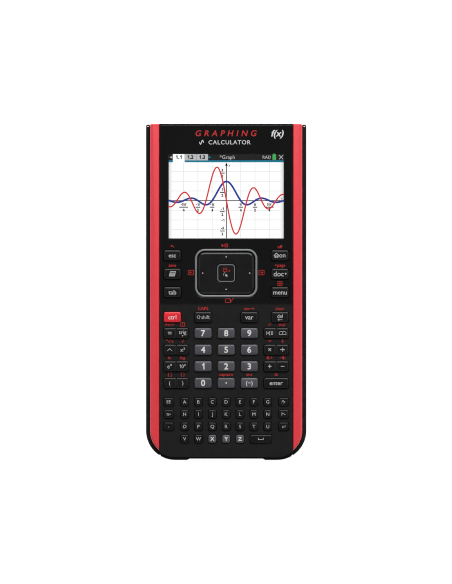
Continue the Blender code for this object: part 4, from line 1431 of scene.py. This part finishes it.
def make_cad_finishes():
    """Materials for the solids that stay as the CAD made them."""
    finishes = {
        "rear_shell": "rear",
        "touchpad_carrier": "rear",
        "lcd_panel": "glass_edge",
        "backlight_tray": "frame",
        "keypad_membrane": "rubber",
        "main_board": "board",
        "shield_can": "steel",
        "dock_connector": "frame",
        "battery": "cell",
        "reset_button": "control",
        "display_window": "window",
    }
    for node, finish in finishes.items():
        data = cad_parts[node].data
        data.materials.clear()
        data.materials.append(MATERIALS[finish])


# Stage


# Each softbox's place, size and power. They face the origin
LIGHTS = {
    "key": ((0.2, 1.52, 1.36), (2.6, 0.9), 48),
    "left": ((-0.9, 0.1, 0.7), (0.4, 1.2), 0.8),
    "right": ((0.9, 0.1, 0.7), (0.4, 1.2), 1.2),
    "near": ((0, -0.9, 0.8), (1.4, 0.4), 1.5),
}


def make_light(name, place, size, power):
    data = bpy.data.lights.new(name, "AREA")
    data.shape = "RECTANGLE"
    data.size, data.size_y = size
    data.energy = power
    made = bpy.data.objects.new(name, data)
    made.location = place
    made.rotation_euler = (Vector((0, 0, 0)) - Vector(place)).to_track_quat("-Z", "Y").to_euler()
    bpy.context.scene.collection.objects.link(made)


def make_floor():
    """A pale sheet, bright enough to read as white."""
    mesh = bmesh.new()
    bmesh.ops.create_grid(mesh, x_segments=8, y_segments=8, size=3.0)
    floor = placed("floor", mesh)
    floor.location = (0, 0, -0.0005)
    paper = Surface("paper", (0.35, 0.35, 0.35), 0.9)
    paper.shader.inputs["Emission Color"].default_value = (1, 1, 1, 1)
    paper.shader.inputs["Emission Strength"].default_value = 0.93
    paper.mottle(300, 0.01)
    floor.data.materials.append(paper.material)


def make_camera(lens=250, across=0.3290):
    """A camera straight above, which sees across metres at the level of the faceplate."""
    camera = bpy.data.cameras.new("camera")
    camera.lens = lens
    camera.clip_end = 10
    made = bpy.data.objects.new("camera", camera)
    made.location = (-0.0001, -0.00015, mm(FRONT) + across * lens / camera.sensor_width)
    bpy.context.scene.collection.objects.link(made)
    bpy.context.scene.camera = made


def make_studio():
    """Soft light, mostly from beyond the display end."""
    make_floor()
    for name, values in LIGHTS.items():
        make_light(name, *values)
    world = bpy.data.worlds.new("studio")
    world.use_nodes = True
    world.node_tree.nodes["Background"].inputs["Color"].default_value = (0.8, 0.82, 0.85, 1)
    world.node_tree.nodes["Background"].inputs["Strength"].default_value = 0.12
    bpy.context.scene.world = world
    bpy.context.scene.view_settings.view_transform = "Standard"
    bpy.context.scene.cycles.filter_width = 1.1
    make_camera()


def make_keys():
    for node in KEY_NODES:
        make_cap(node)
    for node in ROCKER_NODES:
        make_rocker(node)
    for number, row in enumerate(LETTER_ROWS, 1):
        make_letter_row(number, row)
    make_legends()
    make_letter_legends()
    make_drawn_legends()
    make_second_legends()


def make_all():
    make_cad_finishes()
    make_front_shell()
    make_faceplate()
    make_rails()
    make_cover()
    make_ring()
    make_plate()
    make_pad_button()
    picture = Picture()
    picture.status_bar()
    picture.graph()
    make_faceplate_marks()
    make_port()
    make_dock_pins()
    make_door()
    for screw in (*("case_screw_" + corner for corner in CORNERS), "door_screw"):
        make_screw(screw)
    make_keys()
    make_studio()


make_all()
